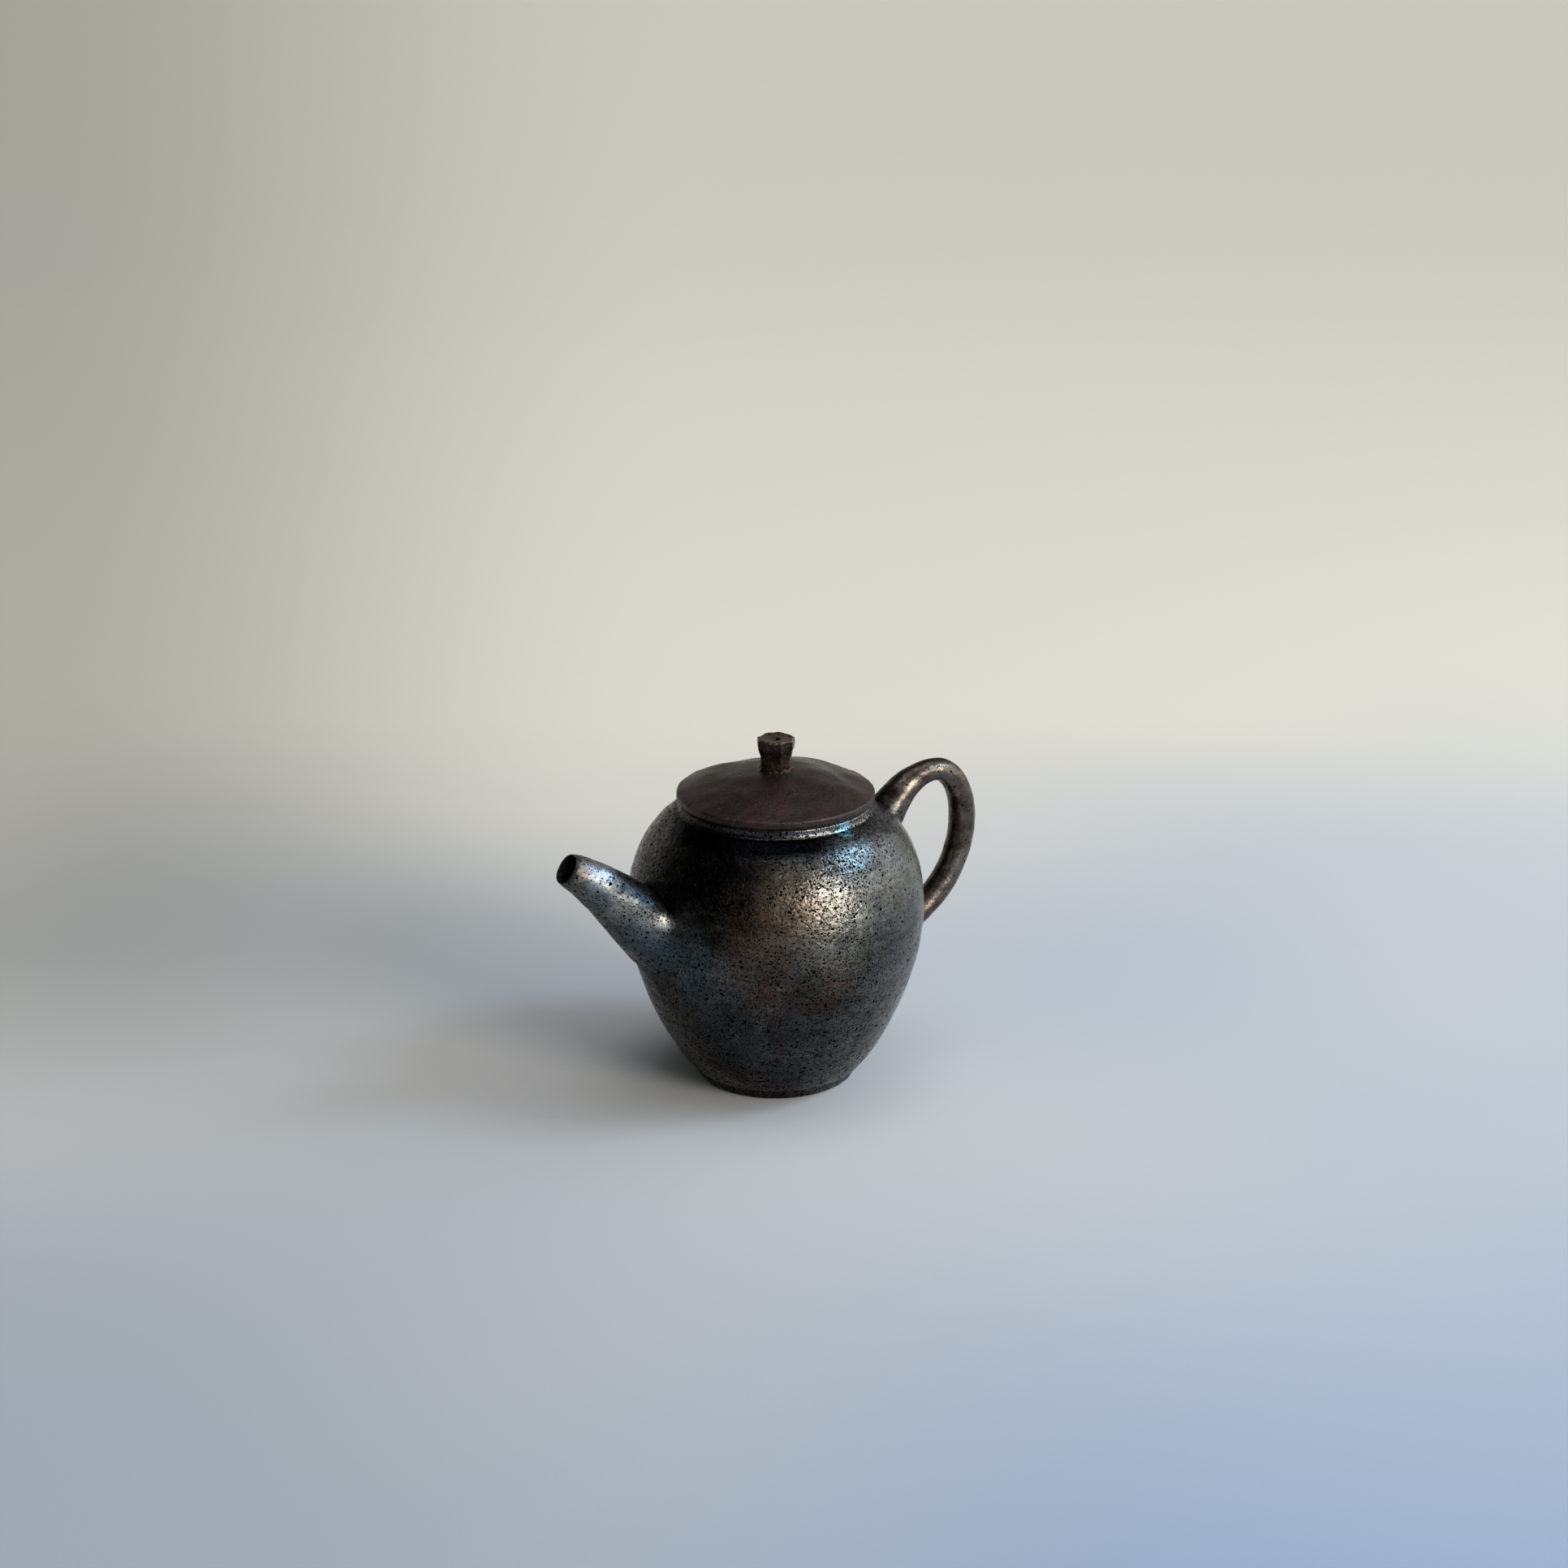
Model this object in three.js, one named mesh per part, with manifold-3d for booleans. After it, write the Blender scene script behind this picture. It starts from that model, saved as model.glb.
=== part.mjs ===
// A small side-pour teapot of thrown and luted clay: a round pot on a foot ring, a short bored spout
// in front with a pierced strainer dome behind it, a looped handle at the back, and a loose lid with a
// locating flange and a knife-cut knob.
//
// Millimetres, +Z up. The origin is on the pot's axis, on the surface it stands on. The spout points
// along -X and the handle along +X.

import * as THREE from 'three';
import { mergeVertices } from 'three/addons/utils/BufferGeometryUtils.js';
import Module from 'manifold-3d';

const wasm = await Module();
wasm.setup();

// Pot body
const bellyRadius = 50;
const bellyHeight = 60;         // height of the widest point above the table
const wallThickness = 3;
const floorThickness = 3.8;
const floorFillet = 7;          // rounding between the floor and the wall inside
const baseLedge = 1.8;          // how far the base stands out beyond the foot ring
const baseFlareOut = 9.3;       // pull of the outline just above the base, outwards
const baseFlareUp = 9.7;        // and upwards
const bellyPullDown = 19.9;     // fullness of the belly below its widest point
const bellyPullUp = 12.8;       // and above it
const neckHeight = 94;          // height where the shoulder meets the collar
const neckPullOut = 11.1;       // slope of the shoulder at the neck
const neckPullDown = 5.1;
const neckFlare = 1.2;          // small cove between the shoulder and the collar
const collarRadius = 32;
const collarHeight = 2.9;
const collarWall = 2.6;
const rimRounding = 0.6;

// Foot ring
const footRadius = 26.1;
const footWidth = 4.8;
const footHeight = 3.7;
const footFlare = 0.9;          // the foot widens upwards by this much
const footRounding = 0.9;

// Spout: its section goes from a wide oval lying on the belly to a round lip
const spoutRootDrop = 2.2;      // the oval's centre, below the belly's widest point
const spoutRootHalfWidth = 22.5;
const spoutRootHalfHeight = 15.2;
const spoutNeckRadius = 10.4;   // radius that the tube would have at the belly without its spread root
const spoutLipRadius = 5.6;
const spoutSpread = 3.2;        // how fast the spread of the root dies away along the spout
const spoutStartReach = 0.7;    // the centreline's start, outwards from the belly
const spoutBendReach = 9.9;     // its control point, outwards from the belly
const spoutBendRise = 15.6;     // and above the belly's widest point
const spoutReach = 26;          // the lip's centre, outwards from the belly
const spoutRise = 25.7;         // and above it
const spoutRootWall = 3.2;
const spoutLipWall = 0.7;

// Opening in the wall and the strainer dome over it
const openingRadius = 9;
const strainerLand = 3.5;       // width of the dome's seat round the opening
const strainerDepth = 9;        // how far the dome stands into the pot
const strainerWall = 1.8;
const strainerHoleRadius = 1;
const strainerHolePitch = 3.6;  // spacing of the holes along and across the rows
const strainerRows = 3;         // rows round the middle hole

// Handle
const handleTopRootDrop = 9.5;  // where the centreline leaves the shoulder, below the neck
const handleCrownReach = 11.5;  // highest point of the centreline, outwards from the belly
const handleCrownRise = 3.1;    // and above the neck
const handleReach = 23.6;       // outermost point of the centreline, outwards from the belly
const handleReachRise = 18.5;   // and above the belly's widest point
const handleLowRootDrop = 19;   // where the centreline meets the belly again, below its widest point
const handleTopRadius = 6.7;    // thickness at the upper root,
const handleCrownRadius = 4.15; // at the crown
const handleGripRadius = 4.8;   // and down the grip
const handleLowFlare = 1;       // the lower root spreads by this much where it was pressed on
const handleSink = 4;           // length of each root hidden below the surface

// Lid, with its heights counted from the face that rests on the collar
const lidOverhang = 0.8;
const lidRimThickness = 2.8;
const lidRimRounding = 0.9;
const lidCrown = 10.2;
const lidThickness = 3.4;       // at the middle
const ceilingLedge = 0.5;       // flat left inside the flange before the hollow under the dome
const flangeDepth = 8.6;
const flangeWall = 2.5;
const flangeTaper = 0.5;
const flangeRounding = 0.8;
const flangeClearance = 0.5;    // round the flange, inside the mouth
const steamHoleRadius = 1.25;

// Knob
const knobFacets = 9;
const knobBaseRadius = 5.4;
const knobWaistRadius = 5.1;
const knobTopRadius = 6.3;
const knobHeight = 10.8;
const knobWaistHeight = 2.6;
const knobChamfer = 0.8;
const knobDish = 0.4;
const knobSeatMargin = 1;       // flat left round the knob on top of the lid

const lutingGap = 0.3;          // hairline between pieces that sit against each other
const roundSides = 50;          // facets round the thrown pieces

// Materials
const glaze = new THREE.MeshStandardMaterial({ color: 0x4a4743, roughness: 0.35, metalness: 0.6 });
const spoutGlaze = new THREE.MeshStandardMaterial({ color: 0x5c6670, roughness: 0.3, metalness: 0.6 });
const handleGlaze = new THREE.MeshStandardMaterial({ color: 0x54473c, roughness: 0.4, metalness: 0.5 });
const footGlaze = new THREE.MeshStandardMaterial({ color: 0x45403a, roughness: 0.5, metalness: 0.4 });
const innerClay = new THREE.MeshStandardMaterial({ color: 0x3a302b, roughness: 0.7, metalness: 0.1 });
const lidClay = new THREE.MeshStandardMaterial({ color: 0x463636, roughness: 0.65, metalness: 0.2 });
const flangeClay = new THREE.MeshStandardMaterial({ color: 0x40302c, roughness: 0.75, metalness: 0.1 });
const knobClay = new THREE.MeshStandardMaterial({ color: 0x3f322c, roughness: 0.6, metalness: 0.2 });

const v2 = (x, y) => new THREE.Vector2(x, y);

// A closed geometry as a solid that can be joined and cut.
function toSolid(geometry) {
  const bare = geometry.clone();
  bare.deleteAttribute('normal');
  bare.deleteAttribute('uv');
  const merged = mergeVertices(bare, 1e-4);
  const index = merged.index.array;
  const faces = [];
  for (let i = 0; i < index.length; i += 3) {
    const [a, b, c] = [index[i], index[i + 1], index[i + 2]];
    if (a !== b && b !== c && c !== a) faces.push(a, b, c);
  }
  return new wasm.Manifold(new wasm.Mesh({
    numProp: 3,
    vertProperties: Float32Array.from(merged.attributes.position.array),
    triVerts: Uint32Array.from(faces),
  }));
}

// A solid as a named mesh with flat facets.
function toMesh(name, solid, material) {
  const { vertProperties, triVerts } = solid.getMesh();
  const geometry = new THREE.BufferGeometry();
  geometry.setAttribute('position', new THREE.BufferAttribute(Float32Array.from(vertProperties), 3));
  geometry.setIndex(new THREE.BufferAttribute(Uint32Array.from(triVerts), 1));
  geometry.computeVertexNormals();
  const mesh = new THREE.Mesh(geometry, material);
  mesh.name = name;
  return mesh;
}

// A profile of (radius, height) points turned about the vertical axis. The profile runs
// anticlockwise seen with the axis on its left: out along the bottom, up outside, back inside.
function revolve(profile, sides = roundSides) {
  return new THREE.LatheGeometry(profile, sides).rotateX(Math.PI / 2);
}

// The same profile closed on itself, for a ring.
function revolveRing(profile, sides = roundSides) {
  return revolve([...profile, profile[0].clone()], sides);
}

// A skin over closed sections. pointAt(t, angle) gives each section's points, for t from 0 to end.
function loft(pointAt, sides, steps, end = 1) {
  const positions = [];
  const faces = [];
  for (let i = 0; i <= steps; i += 1) {
    for (let j = 0; j < sides; j += 1) {
      positions.push(...pointAt((end * i) / steps, (2 * Math.PI * j) / sides).toArray());
    }
  }
  for (let i = 0; i < steps; i += 1) {
    for (let j = 0; j < sides; j += 1) {
      const a = i * sides + j;
      const b = i * sides + ((j + 1) % sides);
      faces.push(a, a + sides, b, b, a + sides, b + sides);
    }
  }
  const last = steps * sides;
  for (let j = 1; j < sides - 1; j += 1) faces.push(0, j, j + 1, last, last + j + 1, last + j);
  const geometry = new THREE.BufferGeometry();
  geometry.setAttribute('position', new THREE.Float32BufferAttribute(positions, 3));
  geometry.setIndex(faces);
  return geometry;
}

// A point on a circle square to a line in the XZ plane.
function aroundLine(centre, along, radius, angle) {
  const across = radius * Math.cos(angle);
  return new THREE.Vector3(
    centre.x - along.z * across,
    radius * Math.sin(angle),
    centre.z + along.x * across,
  );
}

// Each point of an open profile moved to its left by a distance.
function offsetProfile(points, distance) {
  return points.map((point, i) => {
    const before = points[Math.max(i - 1, 0)];
    const after = points[Math.min(i + 1, points.length - 1)];
    const along = after.clone().sub(before).normalize();
    return v2(point.x - along.y * distance, point.y + along.x * distance);
  });
}

// A corner of a profile, rounded off between the side before it and the side after it.
function rounded(before, corner, after, size) {
  return new THREE.QuadraticBezierCurve(
    corner.clone().add(before.clone().sub(corner).setLength(size)),
    corner,
    corner.clone().add(after.clone().sub(corner).setLength(size)),
  ).getPoints(2);
}

// Radius of an open profile at a height.
function radiusAtHeight(points, height) {
  for (let i = 1; i < points.length; i += 1) {
    const [low, high] = [points[i - 1], points[i]];
    if (height <= high.y) {
      return THREE.MathUtils.mapLinear(Math.max(height, low.y), low.y, high.y, low.x, high.x);
    }
  }
  return points[points.length - 1].x;
}

// Outline of the pot, from the base up to the neck

const baseHeight = footHeight + lutingGap;
const baseRadius = footRadius + footFlare + baseLedge;
const rimHeight = neckHeight + collarHeight;
const mouthRadius = collarRadius - collarWall;
const neckRadius = collarRadius + neckFlare;

const belowBelly = new THREE.CubicBezierCurve(
  v2(baseRadius, baseHeight),
  v2(baseRadius + baseFlareOut, baseHeight + baseFlareUp),
  v2(bellyRadius, bellyHeight - bellyPullDown),
  v2(bellyRadius, bellyHeight),
).getPoints(10);
const aboveBelly = new THREE.CubicBezierCurve(
  v2(bellyRadius, bellyHeight),
  v2(bellyRadius, bellyHeight + bellyPullUp),
  v2(neckRadius + neckPullOut, neckHeight - neckPullDown),
  v2(neckRadius, neckHeight),
).getPoints(8);
const outline = [...belowBelly, ...aboveBelly.slice(1)];

const rimOutside = v2(collarRadius, rimHeight);
const rimInside = v2(mouthRadius, rimHeight);
const collar = [
  ...new THREE.QuadraticBezierCurve(
    v2(neckRadius, neckHeight),
    v2(collarRadius, neckHeight + neckFlare / 2),
    v2(collarRadius, neckHeight + neckFlare),
  ).getPoints(3).slice(1),
  ...rounded(v2(collarRadius, neckHeight), rimOutside, rimInside, rimRounding),
  ...rounded(rimOutside, rimInside, v2(mouthRadius, neckHeight), rimRounding),
];

// Inside of the pot, from the middle of the floor up to the mouth. The wall is the outline moved
// inwards, and it meets the floor in a rounded corner.
const floorHeight = baseHeight + floorThickness;
const innerWall = offsetProfile(outline, wallThickness).filter((p) => p.y > floorHeight + floorFillet);
const cornerRadius = radiusAtHeight(offsetProfile(outline, wallThickness), floorHeight);
const inside = [
  v2(0, floorHeight),
  ...new THREE.QuadraticBezierCurve(
    v2(cornerRadius - floorFillet, floorHeight),
    v2(cornerRadius, floorHeight),
    innerWall[0],
  ).getPoints(4).slice(0, -1),
  ...innerWall,
  v2(mouthRadius, innerWall[innerWall.length - 1].y + neckFlare),
];

// The space that the outside of the pot fills, and the space inside it, each drawn clear of the
// wall by the hairline. What is luted to the pot is cut to them.
const envelope = toSolid(revolve([
  v2(0, baseHeight - lutingGap),
  v2(baseRadius + lutingGap, baseHeight - lutingGap),
  ...offsetProfile(outline, -lutingGap),
  v2(collarRadius + lutingGap, rimHeight),
  v2(0, rimHeight),
]));
const cavity = toSolid(revolve([
  v2(0, floorHeight + lutingGap),
  ...offsetProfile(inside.slice(1), lutingGap),
  v2(0, rimHeight),
]));

// Spout: round sections square to the centreline, drawn out at the root to the oval on the belly

const openingHeight = bellyHeight - spoutRootDrop;
const onSpout = (reach, rise) => new THREE.Vector3(-(bellyRadius + reach), 0, bellyHeight + rise);
const spoutLine = new THREE.QuadraticBezierCurve3(
  onSpout(spoutStartReach, -spoutRootDrop),
  onSpout(spoutBendReach, spoutBendRise),
  onSpout(spoutReach, spoutRise),
);
const spoutSink = 1;            // the sections start this far below the belly's surface
const boreEnd = 1.04;           // the bore is cut a little past the lip, at 1

// A point on the spout's outside, or on its bore.
function spoutPoint(isBore, t, angle) {
  const place = Math.min(t, 1);
  const rootInset = isBore ? spoutRootWall : 0;
  const lipInset = isBore ? spoutLipWall : 0;
  const radius = THREE.MathUtils.lerp(spoutNeckRadius - rootInset, spoutLipRadius - lipInset, place);
  const point = aroundLine(spoutLine.getPoint(t), spoutLine.getTangent(place), radius, angle);

  const neck = aroundLine(
    spoutLine.getPoint(0), spoutLine.getTangent(0), spoutNeckRadius - rootInset, angle,
  );
  const height = openingHeight - (spoutRootHalfHeight - rootInset) * Math.cos(angle);
  const turn = ((spoutRootHalfWidth - rootInset) * Math.sin(angle)) / bellyRadius;
  const reach = radiusAtHeight(outline, height) - spoutSink;
  const root = new THREE.Vector3(-reach * Math.cos(turn), reach * Math.sin(turn), height);
  return point.addScaledVector(root.sub(neck), (1 - place) ** spoutSpread);
}

const spoutSolid = toSolid(loft((t, angle) => spoutPoint(false, t, angle), 28, 14))
  .subtract(toSolid(loft((t, angle) => spoutPoint(true, t, angle), 24, 14, boreEnd)))
  .subtract(envelope);

// Opening in the wall, in the middle of the spout's root

const wallMiddle = bellyRadius - wallThickness / 2;
const opening = toSolid(
  new THREE.CylinderGeometry(openingRadius, openingRadius, 4 * wallThickness, 28)
    .rotateZ(Math.PI / 2).translate(-wallMiddle, 0, openingHeight),
);

const potSolid = toSolid(revolve([
  v2(0, baseHeight),
  ...outline,
  ...collar,
  ...inside.slice().reverse(),
])).subtract(opening);

// Strainer: a cap of a sphere, with its rim seated on the wall round the opening, pierced by rows of
// holes that point at the sphere's centre

const strainerRim = openingRadius + strainerLand;
const sphereRadius = (strainerRim ** 2 + strainerDepth ** 2) / (2 * strainerDepth);
const sphereCentre = -(radiusAtHeight(inside.slice(1), openingHeight) + sphereRadius - strainerDepth);

function capArc(radius, from, to, steps) {
  return Array.from({ length: steps + 1 }, (_, i) => {
    const angle = THREE.MathUtils.lerp(from, to, i / steps);
    return v2(radius * Math.sin(angle), radius * Math.cos(angle));
  });
}

const dome = toSolid(new THREE.LatheGeometry([
  ...capArc(sphereRadius - strainerWall, 0, Math.PI / 2, 5),
  ...capArc(sphereRadius, Math.PI / 2, 0, 5),
], 22).rotateZ(-Math.PI / 2).translate(sphereCentre, 0, openingHeight));

const strainerHoles = [];
for (let row = 0; row <= strainerRows; row += 1) {
  const tilt = (row * strainerHolePitch) / sphereRadius;
  const count = row === 0 ? 1 : Math.round((2 * Math.PI * sphereRadius * Math.sin(tilt)) / strainerHolePitch);
  for (let i = 0; i < count; i += 1) {
    const turn = (2 * Math.PI * (i + row / 2)) / count;
    strainerHoles.push(toSolid(
      new THREE.CylinderGeometry(strainerHoleRadius, strainerHoleRadius, 3 * strainerWall, 6)
        .translate(0, sphereRadius - strainerWall / 2, 0)
        .rotateZ(-tilt).rotateY(turn)
        .rotateZ(-Math.PI / 2).translate(sphereCentre, 0, openingHeight),
    ));
  }
}
const strainerSolid = dome.intersect(cavity).subtract(wasm.Manifold.union(strainerHoles));

// Handle: up and out from the shoulder, over the crown, down the grip and back to the belly

const onHandle = (x, z) => new THREE.Vector3(x, 0, z);
const topRootHeight = neckHeight - handleTopRootDrop;
const topRoot = onHandle(
  radiusAtHeight(outline, topRootHeight) - handleSink / 2,
  topRootHeight - handleSink / 2,
);
const crown = onHandle(bellyRadius + handleCrownReach, neckHeight + handleCrownRise);
const grip = onHandle(bellyRadius + handleReach, bellyHeight + handleReachRise);
const lowRootHeight = bellyHeight - handleLowRootDrop;
const lowRoot = onHandle(
  radiusAtHeight(outline, lowRootHeight) - handleSink,
  lowRootHeight - handleSink / 2,
);
const between = (from, to, across, up) => onHandle(
  THREE.MathUtils.lerp(from.x, to.x, across),
  THREE.MathUtils.lerp(from.z, to.z, up),
);
const handleLine = new THREE.CurvePath();
handleLine.add(new THREE.CubicBezierCurve3(
  topRoot, between(topRoot, crown, 0.25, 0.56), between(topRoot, crown, 0.63, 1), crown,
));
handleLine.add(new THREE.CubicBezierCurve3(
  crown, between(crown, grip, 0.62, 0), between(crown, grip, 1, 0.52), grip,
));
handleLine.add(new THREE.CubicBezierCurve3(
  grip, between(grip, lowRoot, 0, 0.48), between(grip, lowRoot, 0.35, 0.75), lowRoot,
));
const [crownLength, gripLength, handleLength] = handleLine.getCurveLengths();
const crownPlace = crownLength / handleLength;
const gripPlace = gripLength / handleLength;

function handleRadius(t) {
  const { smoothstep, lerp } = THREE.MathUtils;
  if (t < crownPlace) return lerp(handleTopRadius, handleCrownRadius, smoothstep(t, 0, crownPlace));
  const filled = lerp(handleCrownRadius, handleGripRadius, smoothstep(t, crownPlace, gripPlace));
  return filled + handleLowFlare * smoothstep(t, 1 - (3 * handleSink) / handleLength, 1);
}

const handlePoint = (t, angle) => aroundLine(
  handleLine.getPointAt(t), handleLine.getTangentAt(t), handleRadius(t), angle,
);
const handleSolid = toSolid(loft(handlePoint, 18, 34)).subtract(envelope);

// Foot ring

const footInner = footRadius - footWidth;
const footCorners = [
  v2(footInner, 0), v2(footRadius, 0), v2(footRadius + footFlare, footHeight), v2(footInner, footHeight),
];
const footSolid = toSolid(revolveRing([
  ...rounded(footCorners[3], footCorners[0], footCorners[1], footRounding),
  ...rounded(footCorners[0], footCorners[1], footCorners[2], footRounding),
  footCorners[2],
  footCorners[3],
]));

// Lid

const lidRadius = collarRadius + lidOverhang;
const flangeOuter = mouthRadius - flangeClearance;
const flangeInner = flangeOuter - flangeWall;
const knobSeatRadius = knobBaseRadius + knobSeatMargin;
const domeRise = lidCrown - lidRimThickness;
const domeSphere = (lidRadius ** 2 + domeRise ** 2) / (2 * domeRise);
const lidTop = (radius) => v2(radius, lidCrown - domeSphere + Math.sqrt(domeSphere ** 2 - radius ** 2));
const domeEdge = lidRadius - 2 * lidRimRounding;
const knobSeat = lidTop(knobSeatRadius).y;
const ceiling = knobSeat - lidThickness;
const rimBelow = v2(lidRadius, 0);
const rimAbove = v2(lidRadius, lidRimThickness);
const lidTopSteps = 6;

const lidSolid = toSolid(revolveRing([
  ...new THREE.QuadraticBezierCurve(
    v2(steamHoleRadius, ceiling),
    v2(flangeInner / 2, ceiling),
    v2(flangeInner - ceilingLedge, 0),
  ).getPoints(5),
  ...rounded(v2(flangeInner, 0), rimBelow, rimAbove, lidRimRounding),
  ...rounded(rimBelow, rimAbove, lidTop(domeEdge), lidRimRounding),
  ...Array.from({ length: lidTopSteps + 1 }, (_, i) => (
    lidTop(THREE.MathUtils.lerp(domeEdge, knobSeatRadius, i / lidTopSteps))
  )),
  v2(steamHoleRadius, knobSeat),
]));

const flangeCorners = [
  v2(flangeInner, -flangeDepth), v2(flangeOuter - flangeTaper, -flangeDepth),
  v2(flangeOuter, -lutingGap), v2(flangeInner, -lutingGap),
];
const flangeSolid = toSolid(revolveRing([
  ...rounded(flangeCorners[3], flangeCorners[0], flangeCorners[1], flangeRounding),
  ...rounded(flangeCorners[0], flangeCorners[1], flangeCorners[2], flangeRounding),
  flangeCorners[2],
  flangeCorners[3],
]));

// Knob: cut to flat facets with a knife, with the steam hole down its middle

const knobSolid = toSolid(revolveRing([
  v2(steamHoleRadius, 0),
  v2(knobBaseRadius, 0),
  v2(knobWaistRadius, knobWaistHeight),
  v2(knobTopRadius, knobHeight - knobChamfer),
  v2(knobTopRadius - knobChamfer, knobHeight),
  v2(steamHoleRadius + knobChamfer, knobHeight - knobDish),
  v2(steamHoleRadius, knobHeight - knobDish - knobChamfer),
], knobFacets));

// Assembly

const pot = new THREE.Group();
pot.add(
  toMesh('pot_body', potSolid, glaze),
  toMesh('foot_ring', footSolid, footGlaze),
  toMesh('spout', spoutSolid, spoutGlaze),
  toMesh('strainer', strainerSolid, innerClay),
  toMesh('handle', handleSolid, handleGlaze),
);

const knob = toMesh('lid_knob', knobSolid, knobClay);
knob.position.z = knobSeat + lutingGap;
const lid = new THREE.Group();
lid.position.z = rimHeight + lutingGap;
lid.add(
  toMesh('lid', lidSolid, lidClay),
  toMesh('lid_flange', flangeSolid, flangeClay),
  knob,
);

const kyusu = new THREE.Group();
kyusu.add(pot, lid);

export default kyusu;
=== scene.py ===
import math

import bpy
import numpy as np
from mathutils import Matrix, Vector


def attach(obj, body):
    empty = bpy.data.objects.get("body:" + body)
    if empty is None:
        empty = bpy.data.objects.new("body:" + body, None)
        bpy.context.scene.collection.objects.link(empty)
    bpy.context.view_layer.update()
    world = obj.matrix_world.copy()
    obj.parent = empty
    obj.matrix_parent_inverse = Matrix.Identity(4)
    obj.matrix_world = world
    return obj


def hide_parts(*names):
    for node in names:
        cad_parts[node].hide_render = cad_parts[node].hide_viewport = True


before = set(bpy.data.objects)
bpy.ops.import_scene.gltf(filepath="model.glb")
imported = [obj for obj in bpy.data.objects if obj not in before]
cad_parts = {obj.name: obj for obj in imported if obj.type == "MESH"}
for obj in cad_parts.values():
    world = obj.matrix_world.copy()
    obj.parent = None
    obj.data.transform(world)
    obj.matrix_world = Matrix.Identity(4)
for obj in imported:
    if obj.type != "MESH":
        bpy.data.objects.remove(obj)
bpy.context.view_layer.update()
print("frame loaded:", sorted(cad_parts))

# Sizes in the dictionaries are millimetres and degrees; meshes are put in metres.
mm = 0.001


# An object in the scene that holds a mesh, a light or a camera
def putObject(name, data):
    made = bpy.data.objects.new(name, data)
    bpy.context.scene.collection.objects.link(made)
    return made


# Camera, at the photograph's viewing angle

view = {
    "place": (-414.5, -753.4, 398.05),
    "forward": (0.4584, 0.8270, -0.3256),
    "lens": 63.35,
    "sensor": 36,
}
cameraData = bpy.data.cameras.new("camera")
cameraData.lens = view["lens"]
cameraData.sensor_width = view["sensor"]
cameraData.clip_start = 0.01
cameraData.clip_end = 100
camera = putObject("camera", cameraData)
camera.location = Vector(view["place"]) * mm
camera.rotation_euler = Vector(view["forward"]).to_track_quat("-Z", "Y").to_euler()
bpy.context.scene.camera = camera
print("camera ready")


# Curves and surfaces

# point(t) = sum of C(n, i) (1 - t)^(n - i) t^i P_i, for t from 0 to 1
def bezier(points, count):
    points = np.asarray(points, float)
    n = len(points) - 1
    t = np.linspace(0, 1, count)[:, None]
    return sum(math.comb(n, i) * (1 - t) ** (n - i) * t**i * points[i] for i in range(n + 1))


# The same line with its points an even distance apart.
def evenly(line, count):
    steps = np.linalg.norm(np.diff(line, axis=0), axis=1)
    length = np.concatenate([[0], np.cumsum(steps)])
    places = np.linspace(0, length[-1], count)
    return np.stack([np.interp(places, length, line[:, k]) for k in range(line.shape[1])], axis=1)


# Points an even distance apart, straight from one place to another.
def straight(start, end, count):
    return evenly(np.array([start, end]), count)


# The same vectors made one long.
def unit(vectors):
    return vectors / np.linalg.norm(vectors, axis=-1, keepdims=True)


# Unit direction of travel at each point of a line: the difference of its neighbours, made one long.
def alongLine(line):
    return unit(np.gradient(line, axis=0))


# A corner of a profile rounded off: a quadratic curve that starts and ends `size` from the corner.
def roundedCorner(before, corner, after, size, count=8):
    before, corner, after = (np.asarray(p, float) for p in (before, corner, after))
    start, end = corner + unit(before - corner) * size, corner + unit(after - corner) * size
    return bezier([start, corner, end], count)


# 0 below `low`, 1 above `high`, and 3 s^2 - 2 s^3 between them
def smoothStep(value, low, high):
    s = np.clip((value - low) / (high - low), 0, 1)
    return s * s * (3 - 2 * s)


# exp(-(x / width)^2): 1 at 0, and almost nothing from twice the width on
def bell(x, width):
    return np.exp(-((x / width) ** 2))


# Lumps from -1 to 1: sin(k . p + phase) summed over plane waves in random directions, each about
# `size` long, and divided by the root of their number. The same point gives the same lump on any piece.
def lumps(points, size, seed, count=22):
    random = np.random.default_rng(seed)
    total = np.zeros(points.shape[:-1])
    for _ in range(count):
        direction = unit(random.normal(size=3))
        waveLength = size * random.uniform(0.7, 1.5)
        total += np.sin(points @ direction * (2 * np.pi / waveLength) + random.uniform(0, 2 * np.pi))
    return total / math.sqrt(count)


# Lumps of several kinds added up: height * lumps(size, seed) for each (height, size, seed).
def relief(points, kinds):
    return sum(height * lumps(points, size, seed) for height, size, seed in kinds)


# Angles of points evenly spaced round a circle: 2 pi k / sides
def around(sides):
    return np.arange(sides) * (2 * np.pi / sides)


# Points at a radius, an angle and a height: (r cos a, r sin a, h)
def turned(radius, angle, height):
    return np.stack([radius * np.cos(angle), radius * np.sin(angle), height + 0 * angle], axis=-1)


# Distance of points from the pot's axis
def fromAxis(points):
    return np.hypot(points[..., 0], points[..., 1])


# The points with their distance from the pot's axis multiplied by `share`.
def widened(points, share):
    return points * np.stack([share, share, np.ones_like(share)], axis=-1)


# Rings square to a line in the xz plane: line + (-along_z, along_x) across, with `sideways` as y
def rings(line, along, across, sideways):
    return np.stack([
        line[..., :1] - along[..., 1:] * across,
        sideways + 0 * line[..., :1],
        line[..., 1:] + along[..., :1] * across,
    ], axis=-1)


# A profile of (radius, height) turned about the pot's axis, with the normals (dh cos a, dh sin a, -dr)
# that point out of the clay when the profile runs up the outside.
def revolve(profile, sides):
    angle = around(sides)
    along = alongLine(profile)
    return turned(profile[:, :1], angle, profile[:, 1:]), turned(along[:, 1:], angle, -along[:, :1])


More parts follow.
